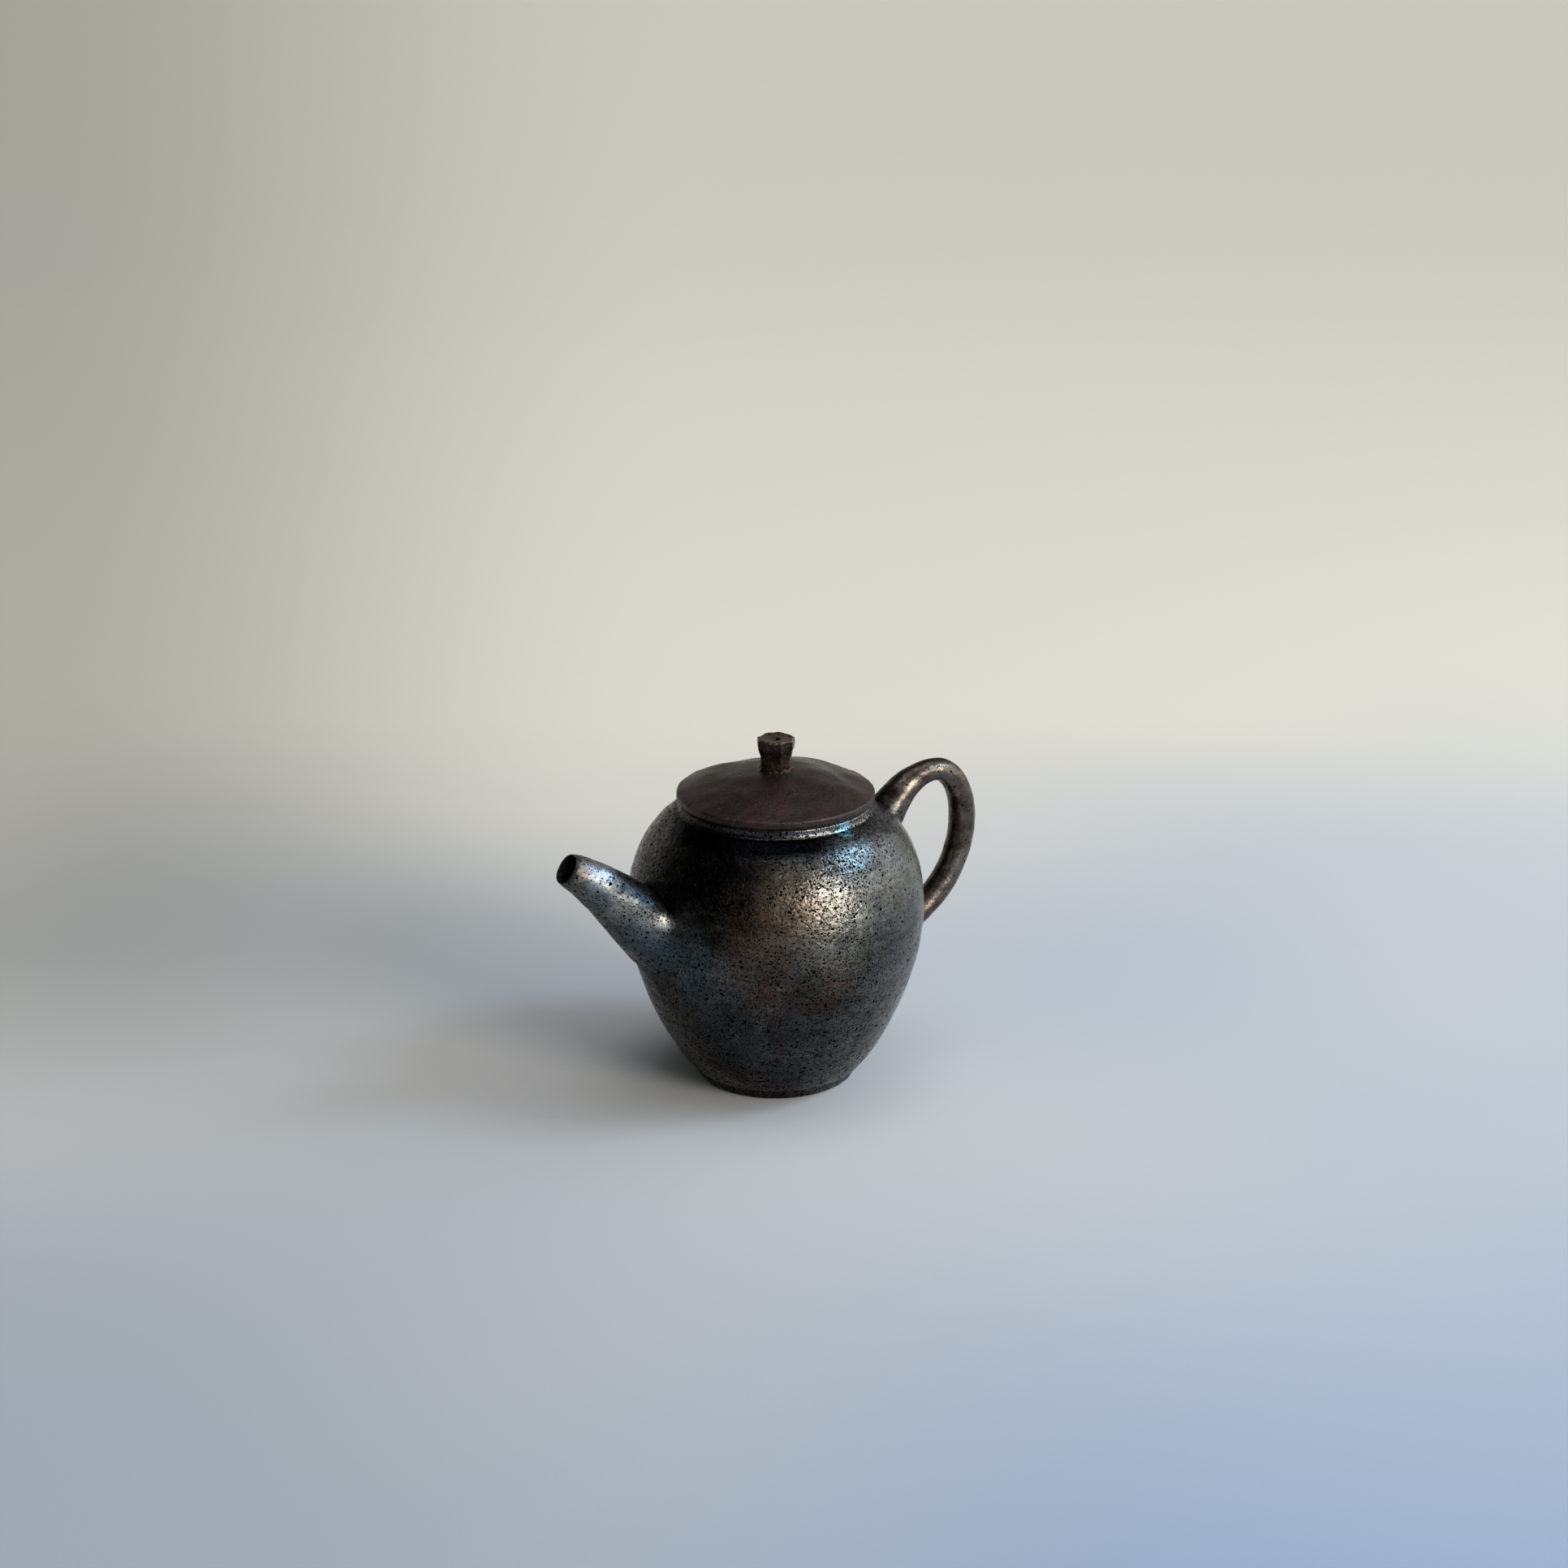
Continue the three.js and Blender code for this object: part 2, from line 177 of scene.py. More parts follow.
# A mesh of points in millimetres and of faces as lists of corners, put in the scene.
def putFaces(name, points, faces):
    mesh = bpy.data.meshes.new(name)
    mesh.from_pydata((points * mm).tolist(), [], faces)
    return putObject(name, mesh)


# A closed mesh over a grid of points, whose columns go round. The rows either close on themselves too,
# or end in a fan of triangles to their middle. Faces are turned over if the volume comes out negative.
# Two values from 0 to 1 are kept as attributes: the wear, how much the fired edge shows at each point, which
# on the lid and the knob also holds painted highlights and a painted reflection, and `joined`, how much the
# point shares the glaze of the belly that it is luted to.
def putMesh(name, grid, rowsClose=False, wearAndPaintedLight=0, joined=0):
    rows, columns = grid.shape[:2]
    index = np.arange(rows * columns).reshape(rows, columns)
    nextColumn = np.roll(index, -1, axis=1)
    if rowsClose:
        here, there = slice(None), np.roll(np.arange(rows), -1)
    else:
        here, there = slice(0, rows - 1), np.arange(1, rows)
    quads = np.stack([index[here], nextColumn[here], nextColumn[there], index[there]], axis=-1)
    faces = quads.reshape(-1, 4)
    points = grid.reshape(-1, 3)
    fans = np.zeros((0, 3), int)
    if not rowsClose:
        middles = np.stack([grid[0].mean(0), grid[-1].mean(0)])
        first = np.stack([nextColumn[0], index[0], np.full(columns, len(points))], axis=1)
        last = np.stack([index[-1], nextColumn[-1], np.full(columns, len(points) + 1)], axis=1)
        points = np.concatenate([points, middles])
        fans = np.concatenate([first, last])
    triangles = np.concatenate([faces[:, [0, 1, 2]], faces[:, [0, 2, 3]], fans])
    a, b, c = (points[triangles[:, k]] for k in range(3))
    if np.einsum("ij,ij->i", a, np.cross(b, c)).sum() < 0:
        faces, fans = faces[:, ::-1], fans[:, ::-1]
    piece = putFaces(name, points, faces.tolist() + fans.tolist())
    piece.data.shade_smooth()
    for key, values in (("wearAndPaintedLight", wearAndPaintedLight), ("joined", joined)):
        shown = np.zeros(len(points), np.float32)
        shown[: rows * columns] = np.broadcast_to(values, (rows, columns)).reshape(-1)
        piece.data.attributes.new(key, "FLOAT", "POINT").data.foreach_set("value", shown)
    return piece


# The piece with the cutter taken away from it, as a plain mesh. The cutter is removed.
def cutAway(piece, cutter, sharpAngle=40):
    cut = piece.modifiers.new("cut", "BOOLEAN")
    cut.operation = "DIFFERENCE"
    cut.solver = "EXACT"
    cut.object = cutter
    bpy.context.view_layer.update()
    depsgraph = bpy.context.evaluated_depsgraph_get()
    mesh = bpy.data.meshes.new_from_object(piece.evaluated_get(depsgraph))
    piece.modifiers.clear()
    old, piece.data = piece.data, mesh
    bpy.data.meshes.remove(old)
    mesh.name = piece.name
    bpy.data.objects.remove(cutter)
    mesh.set_sharp_from_angle(angle=math.radians(sharpAngle))


# Round bars as one mesh. Each goes from one end point to the other, with rings of
# (u cos a + v sin a) radius, where u and v are square to the bar.
def putBars(name, starts, ends, radius, sides):
    starts, ends = np.asarray(starts, float), np.asarray(ends, float)
    along = unit(ends - starts)
    across = unit(np.cross(along, (0.31, 0.87, 0.38)))    # any direction that no bar has
    upright = np.cross(along, across)
    angle = around(sides)
    ring = (across[:, None] * np.cos(angle)[:, None] + upright[:, None] * np.sin(angle)[:, None]) * radius
    points = np.stack([starts[:, None] + ring, ends[:, None] + ring], axis=1).reshape(-1, 3)
    index = np.arange(len(points)).reshape(len(starts), 2, sides)
    nextIndex = np.roll(index, -1, axis=2)
    walls = np.stack([index[:, 0], nextIndex[:, 0], nextIndex[:, 1], index[:, 1]], axis=-1)
    faces = walls.reshape(-1, 4).tolist() + index[:, 0, ::-1].tolist() + index[:, 1].tolist()
    return putFaces(name, points, faces)


# Pot body

pot = {
    "belly": (50, 60),          # radius, and height above the table
    "base": (28.8, 4.0),
    "baseFlare": (9.3, 9.7),    # pull of the outline above the base, outwards and upwards
    "bellyPull": (19.9, 12.8),  # fullness below and above the belly
    "neck": (33.2, 94),
    "neckPull": (11.1, 5.1),
    "collar": (32, 96.9),
    "mouth": 29.4,
    "rimRounding": 0.6,
    "baseRounding": 0.6,
    "middle": 1.2,              # radius of the small fans in the middle of the base and the floor
    "wall": 3,
    "floor": 3.8,
    "floorFillet": 7,
    "broadLumps": 0.24,
    "smallLumps": 0.06,
    "throwing": 0.035,          # height of the throwing lines outside
    "throwingPitch": 3.6,
    "groove": (53.2, 0.2, 0.8),     # a deeper line round the pot: its height, depth and width
    "ribs": 0.22,               # height of the throwing lines inside
    "ribPitch": 5.5,
    "sides": 320,
}
bellyRadius, bellyHeight = pot["belly"]
baseRadius, baseHeight = pot["base"]
neckRadius, neckHeight = pot["neck"]
collarRadius, rimHeight = pot["collar"]

outline = np.concatenate([
    bezier([
        (baseRadius, baseHeight),
        (baseRadius + pot["baseFlare"][0], baseHeight + pot["baseFlare"][1]),
        (bellyRadius, bellyHeight - pot["bellyPull"][0]),
        (bellyRadius, bellyHeight),
    ], 90),
    bezier([
        (bellyRadius, bellyHeight),
        (bellyRadius, bellyHeight + pot["bellyPull"][1]),
        (neckRadius + pot["neckPull"][0], neckHeight - pot["neckPull"][1]),
        (neckRadius, neckHeight),
    ], 70)[1:],
])
wallNormals = alongLine(outline)[:, ::-1] * (1, -1)
innerWall = outline - wallNormals * pot["wall"]


# The wall's radius at a height, read off the outline.
def radiusOutside(height):
    return np.interp(height, outline[:, 1], outline[:, 0])


# The same inside: the outline moved inwards by the wall.
def radiusInside(height):
    return np.interp(height, innerWall[:, 1], innerWall[:, 0])


# How far the thrown outside stands out at a point: broad lumps + small lumps + throwing lines that climb
# as a spiral, sin(2 pi h / pitch + a) - one deeper line. It dies away at the collar and at the base.
def handMarks(points):
    angle = np.arctan2(points[..., 1], points[..., 0])
    height = points[..., 2]
    spiral = np.sin(2 * np.pi * height / pot["throwingPitch"] + angle) * (0.6 + 0.4 * lumps(points, 22, 5))
    line, depth, width = pot["groove"]
    groove = bell(height - line - 0.4 * lumps(points, 60, 8), width)
    raised = (
        pot["broadLumps"] * (lumps(points, 36, 1) - 0.6)
        + pot["smallLumps"] * lumps(points, 9, 2)
        + pot["throwing"] * spiral
        - depth * groove * (0.6 + 0.4 * lumps(points, 30, 9))
    )
    return raised * smoothStep(rimHeight - height, 2, 6) * smoothStep(height, baseHeight - 1, baseHeight + 5)


# Base, outside, collar, rim, wall inside and floor, in that order, as (radius, height).
def potProfile():
    mouth, middle, fillet = pot["mouth"], pot["middle"], pot["floorFillet"]
    rimOutside, rimInside = (collarRadius, rimHeight), (mouth, rimHeight)
    below = straight((middle, baseHeight), (baseRadius - pot["baseRounding"], baseHeight), 14)
    edge = roundedCorner(below[-1], (baseRadius, baseHeight), outline[4], pot["baseRounding"])
    outside = evenly(outline[4:], 118)
    cove = bezier([
        (neckRadius, neckHeight),
        (neckRadius - 0.75, neckHeight + 0.2),
        (collarRadius, neckHeight + 0.7),
        (collarRadius, rimHeight - 0.65),
    ], 20)
    rim = np.concatenate([
        roundedCorner(cove[-1], rimOutside, rimInside, pot["rimRounding"], 7),
        roundedCorner(rimOutside, rimInside, (mouth, neckHeight), pot["rimRounding"], 7),
    ])
    floorHeight = baseHeight + pot["floor"]
    wall = innerWall[innerWall[:, 1] > floorHeight + fillet]
    corner = radiusInside(floorHeight)
    wallDown = evenly(np.concatenate([[(mouth, wall[-1, 1] + 1.2)], wall[::-1]]), 84)
    bend = bezier([wall[0], (corner, floorHeight), (corner - fillet, floorHeight)], 12)[1:]
    floor = straight(bend[-1], (middle, floorHeight), 14)[1:]
    return np.concatenate([below[:-1], edge, outside[1:], cove[1:], rim, wallDown, bend, floor])


potGrid, potNormals = revolve(potProfile(), pot["sides"])
potHeight = potGrid[..., 2]
isInside = (np.arange(len(potGrid)) > np.argmax(potProfile()[:, 1]) + 8)[:, None]
angle = np.arctan2(potGrid[..., 1], potGrid[..., 0])
ribs = pot["ribs"] * np.sin(2 * np.pi * potHeight / pot["ribPitch"] + angle)
ribs *= 0.8 + 0.3 * lumps(potGrid, 30, 12)
ribs *= smoothStep(neckHeight - 3 - potHeight, 0, 6) * smoothStep(potHeight, 9, 20)
marks = np.where(isInside, ribs + 0.1 * lumps(potGrid, 30, 13), handMarks(potGrid))
marks = np.where(potHeight < baseHeight + 0.2, 0, marks)
# the glaze stops on top of the rim, and the inside is bare
onRim = (potHeight > rimHeight - 0.3) & (fromAxis(potGrid) < collarRadius - 0.25)
bareClay = np.where(onRim | isInside, 1.0, 0.0)
potBody = putMesh("glazed_pot_body", potGrid + potNormals * marks[..., None], wearAndPaintedLight=bareClay)
print("pot body made")


# Spout: round sections square to a curved centreline, drawn out at the root to an oval on the belly

spout = {
    "rootHeight": 57.8,
    "rootHalfWidth": 22.5,
    "rootHalfHeight": 15.2,
    "rootDrop": 4.4,            # added to the half height at its lowest point
    "neckRadius": 10.4,
    "lipRadius": 5.6,
    "spread": (4.4, 2.2),       # how fast the spread of the root dies away, underneath and on top
    "rootWall": 3.2,
    "lipWall": 0.75,
    "sink": 2.2,                # the root starts this far below the belly's surface
    "fillet": 0.9,              # softness of the line where it leaves the belly
    "centreline": [(-50.7, 57.8), (-59.9, 75.6), (-76.0, 85.7)],
    "openingRadius": 9,
    "lumps": [(0.1, 13, 21), (0.04, 5, 22)],
    "lipWave": 0.16,
    "lipRounding": 0.55,
    # line left by the luting slip: its place underneath, how much further on at the side, depth, width
    "seam": (0.105, 0.025, 0.55, 0.018),
    # clay pressed into the crease on the upper side: its place, width and height, and its lumps' height
    "bead": (0.05, 0.035, 0.7, 0.35),
    "joinedReach": 7,
    "sides": 180,
}


# A point on the skin: centreline(t) + radius(t) square to it + (oval on the belly - neck circle)
# (1 - t)^spread, where radius runs straight from the neck's to the lip's, and spread grows towards the top.
def spoutSkin(t, angle, rootInset, lipInset):
    t = t[:, None]
    p0, p1, p2 = (np.array(p, float) for p in spout["centreline"])
    centre = (1 - t) ** 2 * p0 + 2 * t * (1 - t) * p1 + t**2 * p2
    along = unit(2 * (1 - t) * (p1 - p0) + 2 * t * (p2 - p1))
    neck = spout["neckRadius"] - rootInset
    radius = neck + (spout["lipRadius"] - lipInset - neck) * t
    skin = rings(centre, along, radius * np.cos(angle), radius * np.sin(angle))
    circle = rings(p0[None], unit(p1 - p0)[None], neck * np.cos(angle), neck * np.sin(angle))[0]
    drop = spout["rootDrop"] * np.maximum(np.cos(angle), 0) ** 2
    height = spout["rootHeight"] - (spout["rootHalfHeight"] + drop - rootInset) * np.cos(angle)
    turn = (spout["rootHalfWidth"] - rootInset) * np.sin(angle) / bellyRadius
    reach = radiusOutside(height) - spout["sink"]
    root = np.stack([-reach * np.cos(turn), reach * np.sin(turn), height], axis=-1)
    under, over = spout["spread"]
    spread = ((1 - t) ** (under + (over - under) * (1 - np.cos(angle)) / 2))[..., None]
    return skin + spread * (root - circle)


# A piece luted to the belly follows the belly's own marks where it leaves it. Its gap g to the belly
# becomes (g + sqrt(g^2 + fillet^2)) / 2 - bury, so its edge runs into the surface without a step.
def seatOnBelly(points, fillet, bury=0.12, marksReach=3):
    surface = radiusOutside(points[..., 2])
    gap = fromAxis(points) - surface
    soft = (gap + np.sqrt(gap**2 + fillet**2)) / 2 - bury
    radius = surface + soft + bell(np.maximum(gap, 0), marksReach) * handMarks(points)
    return widened(points, radius / fromAxis(points))


# 1 on the belly and 0 from `reach` above it on
def joinedToBelly(points, reach):
    return smoothStep(fromAxis(points) - radiusOutside(points[..., 2]), reach, 0)


angle = around(spout["sides"])
lengthwise = np.linspace(0, 1, 210) ** 1.35
boreLengthwise = np.linspace(1, 0, 60)
outer = seatOnBelly(spoutSkin(lengthwise, angle, 0, 0), spout["fillet"])
inner = spoutSkin(boreLengthwise, angle, spout["rootWall"], spout["lipWall"])
lipTurn = np.linspace(0, np.pi, 9)[1:-1, None, None]
lipMiddle, lipHalf = (outer[-1] + inner[0]) / 2, (outer[-1] - inner[0]) / 2
(bendX, bendZ), (lipX, lipZ) = spout["centreline"][1:]
tip = unit(np.array([lipX - bendX, 0, lipZ - bendZ]))
lip = lipMiddle + lipHalf * np.cos(lipTurn) + tip * (spout["lipWall"] / 2) * np.sin(lipTurn)
spoutGrid = np.concatenate([outer, lip, inner])
outward = unit(spoutGrid - spoutGrid.mean(1, keepdims=True))
towardLip = np.concatenate([lengthwise, np.ones(len(lipTurn)), boreLengthwise])[:, None]
isOuter = (np.arange(len(spoutGrid)) < len(outer) + 3)[:, None]
spoutMarks = smoothStep(towardLip, 0.12, 0.4) * (relief(spoutGrid, spout["lumps"]) - 0.06)
rounding = np.clip((towardLip - 0.92) / 0.08, 0, 1)
spoutMarks = spoutMarks - isOuter * spout["lipRounding"] * (1 - np.sqrt(1 - rounding**2))
seamStart, seamRise, seamDepth, seamWidth = spout["seam"]
fromBelow = np.abs(np.arctan2(np.sin(angle), np.cos(angle)))
seamLine = seamStart + seamRise * fromBelow / math.radians(76)
seam = bell(towardLip - seamLine, seamWidth) * smoothStep(np.cos(angle), 0, 0.4)
spoutMarks = spoutMarks - isOuter * seamDepth * seam
beadPlace, beadWidth, beadHeight, beadLumps = spout["bead"]
bead = bell(towardLip - beadPlace, beadWidth) * smoothStep(-np.cos(angle), -0.5, 0.3)
bead = bead * (beadHeight + beadLumps * np.maximum(lumps(spoutGrid, 6, 25), 0))
spoutGrid = spoutGrid + outward * (spoutMarks + isOuter * bead)[..., None]
ragged = spout["lipWave"] * smoothStep(towardLip, 0.9, 1) * (lumps(spoutGrid, 7, 23) - 0.7)
spoutGrid = spoutGrid + tip * ragged[..., None]
# the glaze has run off the lip's edge
atLip = smoothStep(towardLip + 0.01 * lumps(spoutGrid, 6, 24), 0.955, 0.985)
joined = joinedToBelly(spoutGrid, spout["joinedReach"])
spoutPiece = putMesh("glazed_spout", spoutGrid, rowsClose=True, wearAndPaintedLight=atLip, joined=joined)
print("spout made")


# Handle: a coil of clay along three joined curves, from the shoulder over the crown to the belly

handle = {
    "topRootHeight": 84.5,
    "crown": (61.5, 97.1),
    "grip": (73.6, 78.5),
    "lowRootHeight": 41,
    "sink": 4,
    "topRadius": 6.7,
    "crownRadius": 4.15,
    "gripRadius": 4.8,
    "lowFlare": 1,
    "rootFlare": (0.3, 1.3),    # the clay pressed out round the upper root and the lower one
    "flareReach": 3.2,
    "flatten": 0.05,            # how much flatter the coil is across its loop
    "lumps": [(0.13, 17, 31), (0.05, 6, 32)],
    "fillet": 1.2,
    "bury": 0.5,
    "joinedReach": 6,
    "sides": 96,
    "steps": 420,
}


# The centreline: three cubic curves from root to crown, crown to grip and grip to root. It also gives
# the share of the length at which each of them ends, and the whole length.
def handleLine():
    sink = handle["sink"]
    topHeight, lowHeight = handle["topRootHeight"], handle["lowRootHeight"]
    topRoot = np.array([radiusOutside(topHeight) - sink / 2, topHeight - sink / 2])
    lowRoot = np.array([radiusOutside(lowHeight) - sink, lowHeight - sink / 2])
    crown, grip = np.array(handle["crown"]), np.array(handle["grip"])

    def curve(a, b, first, second, count):
        return bezier([a, a + (b - a) * first, a + (b - a) * second, b], count)

    parts = [
        curve(topRoot, crown, (0.25, 0.56), (0.63, 1), 200),
        curve(crown, grip, (0.62, 0), (1, 0.52), 200)[1:],
        curve(grip, lowRoot, (0, 0.48), (0.35, 0.75), 300)[1:],
    ]
    lengths = [np.linalg.norm(np.diff(part, axis=0), axis=1).sum() for part in parts]
    return evenly(np.concatenate(parts), handle["steps"]), np.cumsum(lengths) / sum(lengths), sum(lengths)


# Radius of the coil: it thins from the upper root to the crown and fills out again down the grip,
# and spreads by exp(-(g / reach)^2) where its centre comes within reach of the belly.
def handleRadius(line, places, length):
    t = np.linspace(0, 1, len(line))
    atCrown, atGrip = places[:2]
    top = handle["topRadius"] + (handle["crownRadius"] - handle["topRadius"]) * smoothStep(t, 0, atCrown)
    filled = (handle["gripRadius"] - handle["crownRadius"]) * smoothStep(t, atCrown, atGrip)
    flare = handle["lowFlare"] * smoothStep(t, 1 - 3 * handle["sink"] / length, 1)
    gap = np.maximum(line[:, 0] - radiusOutside(line[:, 1]), 0)
    upper, lower = handle["rootFlare"]
    pressed = upper + (lower - upper) * smoothStep(t, 0.3, 0.7)
    return top + filled + flare + pressed * bell(gap, handle["flareReach"])


line, places, length = handleLine()
radius = handleRadius(line, places, length)[:, None]
along = alongLine(line)
angle = around(handle["sides"])
inLoop = radius * np.cos(angle) * (1 - handle["flatten"])
handleGrid = rings(line, along, inLoop, radius * np.sin(angle))
outward = unit(handleGrid - rings(line, along, 0, 0))
coilMarks = relief(handleGrid, handle["lumps"]) - 0.08
handleGrid = seatOnBelly(handleGrid + outward * coilMarks[..., None], handle["fillet"], handle["bury"])
joined = joinedToBelly(handleGrid, handle["joinedReach"])
handlePiece = putMesh("glazed_handle", handleGrid, joined=joined)
print("handle made")


# Foot ring

foot = {
    "radius": 26.1, "width": 4.8, "height": 3.7, "flare": 1.8, "rounding": 1.1, "joint": 0.35,
    "lumps": [(0.14, 14, 41), (0.05, 4, 42)],
    "sides": 320,
}


# A ring's section with its two lower corners rounded. The four corners are inside below, outside below,
# outside above and inside above. `counts` are the points up the outside, across and down the inside, and
# `skips` say where the two sides start and stop, clear of the rounding.
def ringProfile(corners, rounding, counts, skips):
    insideBelow, outsideBelow, outsideAbove, insideAbove = corners
    return np.concatenate([
        roundedCorner(insideAbove, insideBelow, outsideBelow, rounding),
        roundedCorner(insideBelow, outsideBelow, outsideAbove, rounding),
        straight(outsideBelow, outsideAbove, counts[0])[skips[0]:],
        straight(outsideAbove, insideAbove, counts[1])[1:],
        straight(insideAbove, insideBelow, counts[2])[1:skips[1]],
    ])


footInner, footTop = foot["radius"] - foot["width"], foot["height"] + foot["joint"]
footGrid, footNormals = revolve(ringProfile([
    (footInner, 0), (foot["radius"], 0), (foot["radius"] + foot["flare"], footTop), (footInner, footTop),
], foot["rounding"], (12, 4, 10), (4, 7)), foot["sides"])
footMarks = relief(footGrid, foot["lumps"]) - 0.05
footMarks *= smoothStep(footGrid[..., 2], 0.05, 1.2) * smoothStep(footTop - footGrid[..., 2], 0, 0.6)
footWear = smoothStep(0.25 + 0.25 * lumps(footGrid, 9, 43) - footGrid[..., 2], 0, 0.4)
footGrid = footGrid + footNormals * footMarks[..., None]
footRing = putMesh("glazed_foot_ring", footGrid, rowsClose=True, wearAndPaintedLight=footWear, joined=1)
print("foot ring made")


# Strainer: a cap of a sphere on the wall round the opening, pierced by rows of holes

strainer = {
    "rim": 12.5, "depth": 9, "wall": 1.8, "bury": 0.8,
    "holeRadius": 1, "pitch": 3.6, "rows": (1, 6, 12, 17), "rowTurn": 0.25, "sides": 96,
}
sphereRadius = (strainer["rim"] ** 2 + strainer["depth"] ** 2) / (2 * strainer["depth"])
sphereCentre = -(radiusInside(spout["rootHeight"]) + sphereRadius - strainer["depth"])
centre = np.array([sphereCentre, 0, spout["rootHeight"]])


# Directions from the sphere's centre: (cos q, sin q cos a, sin q sin a)
def towards(tilt, turn):
    return np.stack([
        np.cos(tilt) + 0 * turn, np.sin(tilt) * np.cos(turn), np.sin(tilt) * np.sin(turn),
    ], axis=-1)


# centre + R towards(tilt, turn), and no point further out than just under the wall's skin
def strainerSkin(radius, tilt):
    points = centre + radius * towards(tilt[:, None], around(strainer["sides"]))
    limit = (radiusInside(points[..., 2]) + strainer["bury"]) / fromAxis(points)
    return widened(points, np.minimum(1, limit))


tilt = np.linspace(0.04, np.pi / 2, 44)
domeOutside = strainerSkin(sphereRadius, tilt)
domeOutside += 0.08 * lumps(domeOutside, 8, 51)[..., None] * np.array([1, 0, 0])
domeInside = strainerSkin(sphereRadius - strainer["wall"], tilt[::-1])
strainerPiece = putMesh("clay_strainer", np.concatenate([domeOutside, domeInside]))
row = np.repeat(np.arange(len(strainer["rows"])), strainer["rows"])
place = np.concatenate([np.arange(count) / count for count in strainer["rows"]])
toHole = towards(row * strainer["pitch"] / sphereRadius, 2 * np.pi * place + row * strainer["rowTurn"])
holeStarts, holeEnds = centre + toHole * (sphereRadius - 4), centre + toHole * (sphereRadius + 3)
cutAway(strainerPiece, putBars("holes", holeStarts, holeEnds, strainer["holeRadius"], 20))
openingStart, openingEnd = (-36, 0, spout["rootHeight"]), (-49.6, 0, spout["rootHeight"])
cutAway(potBody, putBars("opening", [openingStart], [openingEnd], spout["openingRadius"], 64))
print("strainer made")


# Lid, locating flange and knob. Heights count from the face that rests on the collar.

lid = {
    "seat": 97.2, "radius": 32.8, "rim": 2.8, "rounding": 1.3, "upperRounding": 0.5, "crown": 10.2,
    "thickness": 3.4, "ledge": 0.5, "hole": 1.25, "knobSeat": 6.4, "sides": 320,
    "broadLumps": 0.3, "dents": 0.13, "rimLumps": 0.05,
}
flange = {
    "outer": 28.9, "inner": 26.4, "depth": 8.6, "taper": 0.5, "rounding": 0.8, "joint": 0.05,
    "throwing": 0.06, "throwingTurn": 2.4,      # height of the throwing lines, and radians per millimetre
}
domeRise = lid["crown"] - lid["rim"]
domeSphere = (lid["radius"] ** 2 + domeRise**2) / (2 * domeRise)


# Height of the domed top at a radius: crown - R + sqrt(R^2 - r^2)
def lidTop(radius):
    return lid["crown"] - domeSphere + np.sqrt(domeSphere**2 - radius**2)


# Hollow underside, seat, rim, top and steam hole, in that order, as (radius, height).
def lidProfile():
    inner, hole, rimRadius = flange["inner"], lid["hole"], lid["radius"]
    ceiling = lidTop(lid["knobSeat"]) - lid["thickness"]
    rimBelow, rimAbove = (rimRadius, 0), (rimRadius, lid["rim"])
    domeEdge = rimRadius - 1.5 * lid["upperRounding"]
    acrossTop = np.linspace(domeEdge, hole + 0.3, 90)
    return np.concatenate([
        bezier([(hole, ceiling), (inner / 2, ceiling), (inner - lid["ledge"], 0)], 40),
        straight((inner, 0), (rimRadius - 1.5, 0), 12),
        roundedCorner((inner, 0), rimBelow, rimAbove, lid["rounding"], 9),
        roundedCorner(rimBelow, rimAbove, (domeEdge, lidTop(domeEdge)), lid["upperRounding"], 7),
        np.stack([acrossTop, lidTop(acrossTop)], axis=-1),
        straight((hole, lidTop(hole) - 0.2), (hole, ceiling + 0.3), 6),
    ])


lidGrid, lidNormals = revolve(lidProfile(), lid["sides"])
radial = fromAxis(lidGrid)
isTop = (lidNormals[..., 2] > 0.3) & (radial > lid["hole"] + 0.2)
lidMarks = lid["broadLumps"] * (lumps(lidGrid, 24, 61) - 0.3) + lid["dents"] * lumps(lidGrid, 9, 62)
lidMarks *= smoothStep(radial, 4, 12) * np.where(isTop, 1, 0.35) * smoothStep(lidGrid[..., 2], 0, 1.4)
rimMarks = lid["rimLumps"] * lumps(lidGrid, 3.2, 65)
lidMarks += rimMarks * smoothStep(radial, 30.5, 32) * smoothStep(lidGrid[..., 2], 0, 0.8)
lidGrid = lidGrid + lidNormals * lidMarks[..., None]
lidGrid[..., 2] += lid["seat"]
# the fired edge shows along the top of the rim, here and there, painted paler also as a highlight along that
# edge
lidWearAndHighlight = bell(radial - lid["radius"] + 0.2, 0.25) * smoothStep(lidGrid[..., 2] - lid["seat"], 2.2, 2.7)
lidWearAndHighlight = lidWearAndHighlight * smoothStep(lumps(lidGrid, 7, 64), -0.8, 0.8)
lidPiece = putMesh("clay_lid", lidGrid, rowsClose=True, wearAndPaintedLight=lidWearAndHighlight)

flangeGrid, flangeNormals = revolve(ringProfile([
    (flange["inner"], -flange["depth"]), (flange["outer"] - flange["taper"], -flange["depth"]),
    (flange["outer"], flange["joint"]), (flange["inner"], flange["joint"]),
], flange["rounding"], (24, 4, 24), (3, -3)), lid["sides"])
angle = np.arctan2(flangeGrid[..., 1], flangeGrid[..., 0])
flangeMarks = flange["throwing"] * np.sin(flangeGrid[..., 2] * flange["throwingTurn"] + angle)
flangeMarks += 0.08 * lumps(flangeGrid, 20, 63) - 0.1
flangeMarks *= smoothStep(-flangeGrid[..., 2], 0, 1)
flangeGrid = flangeGrid + flangeNormals * flangeMarks[..., None]
flangeGrid[..., 2] += lid["seat"]
flangePiece = putMesh("clay_lid_flange", flangeGrid, rowsClose=True)

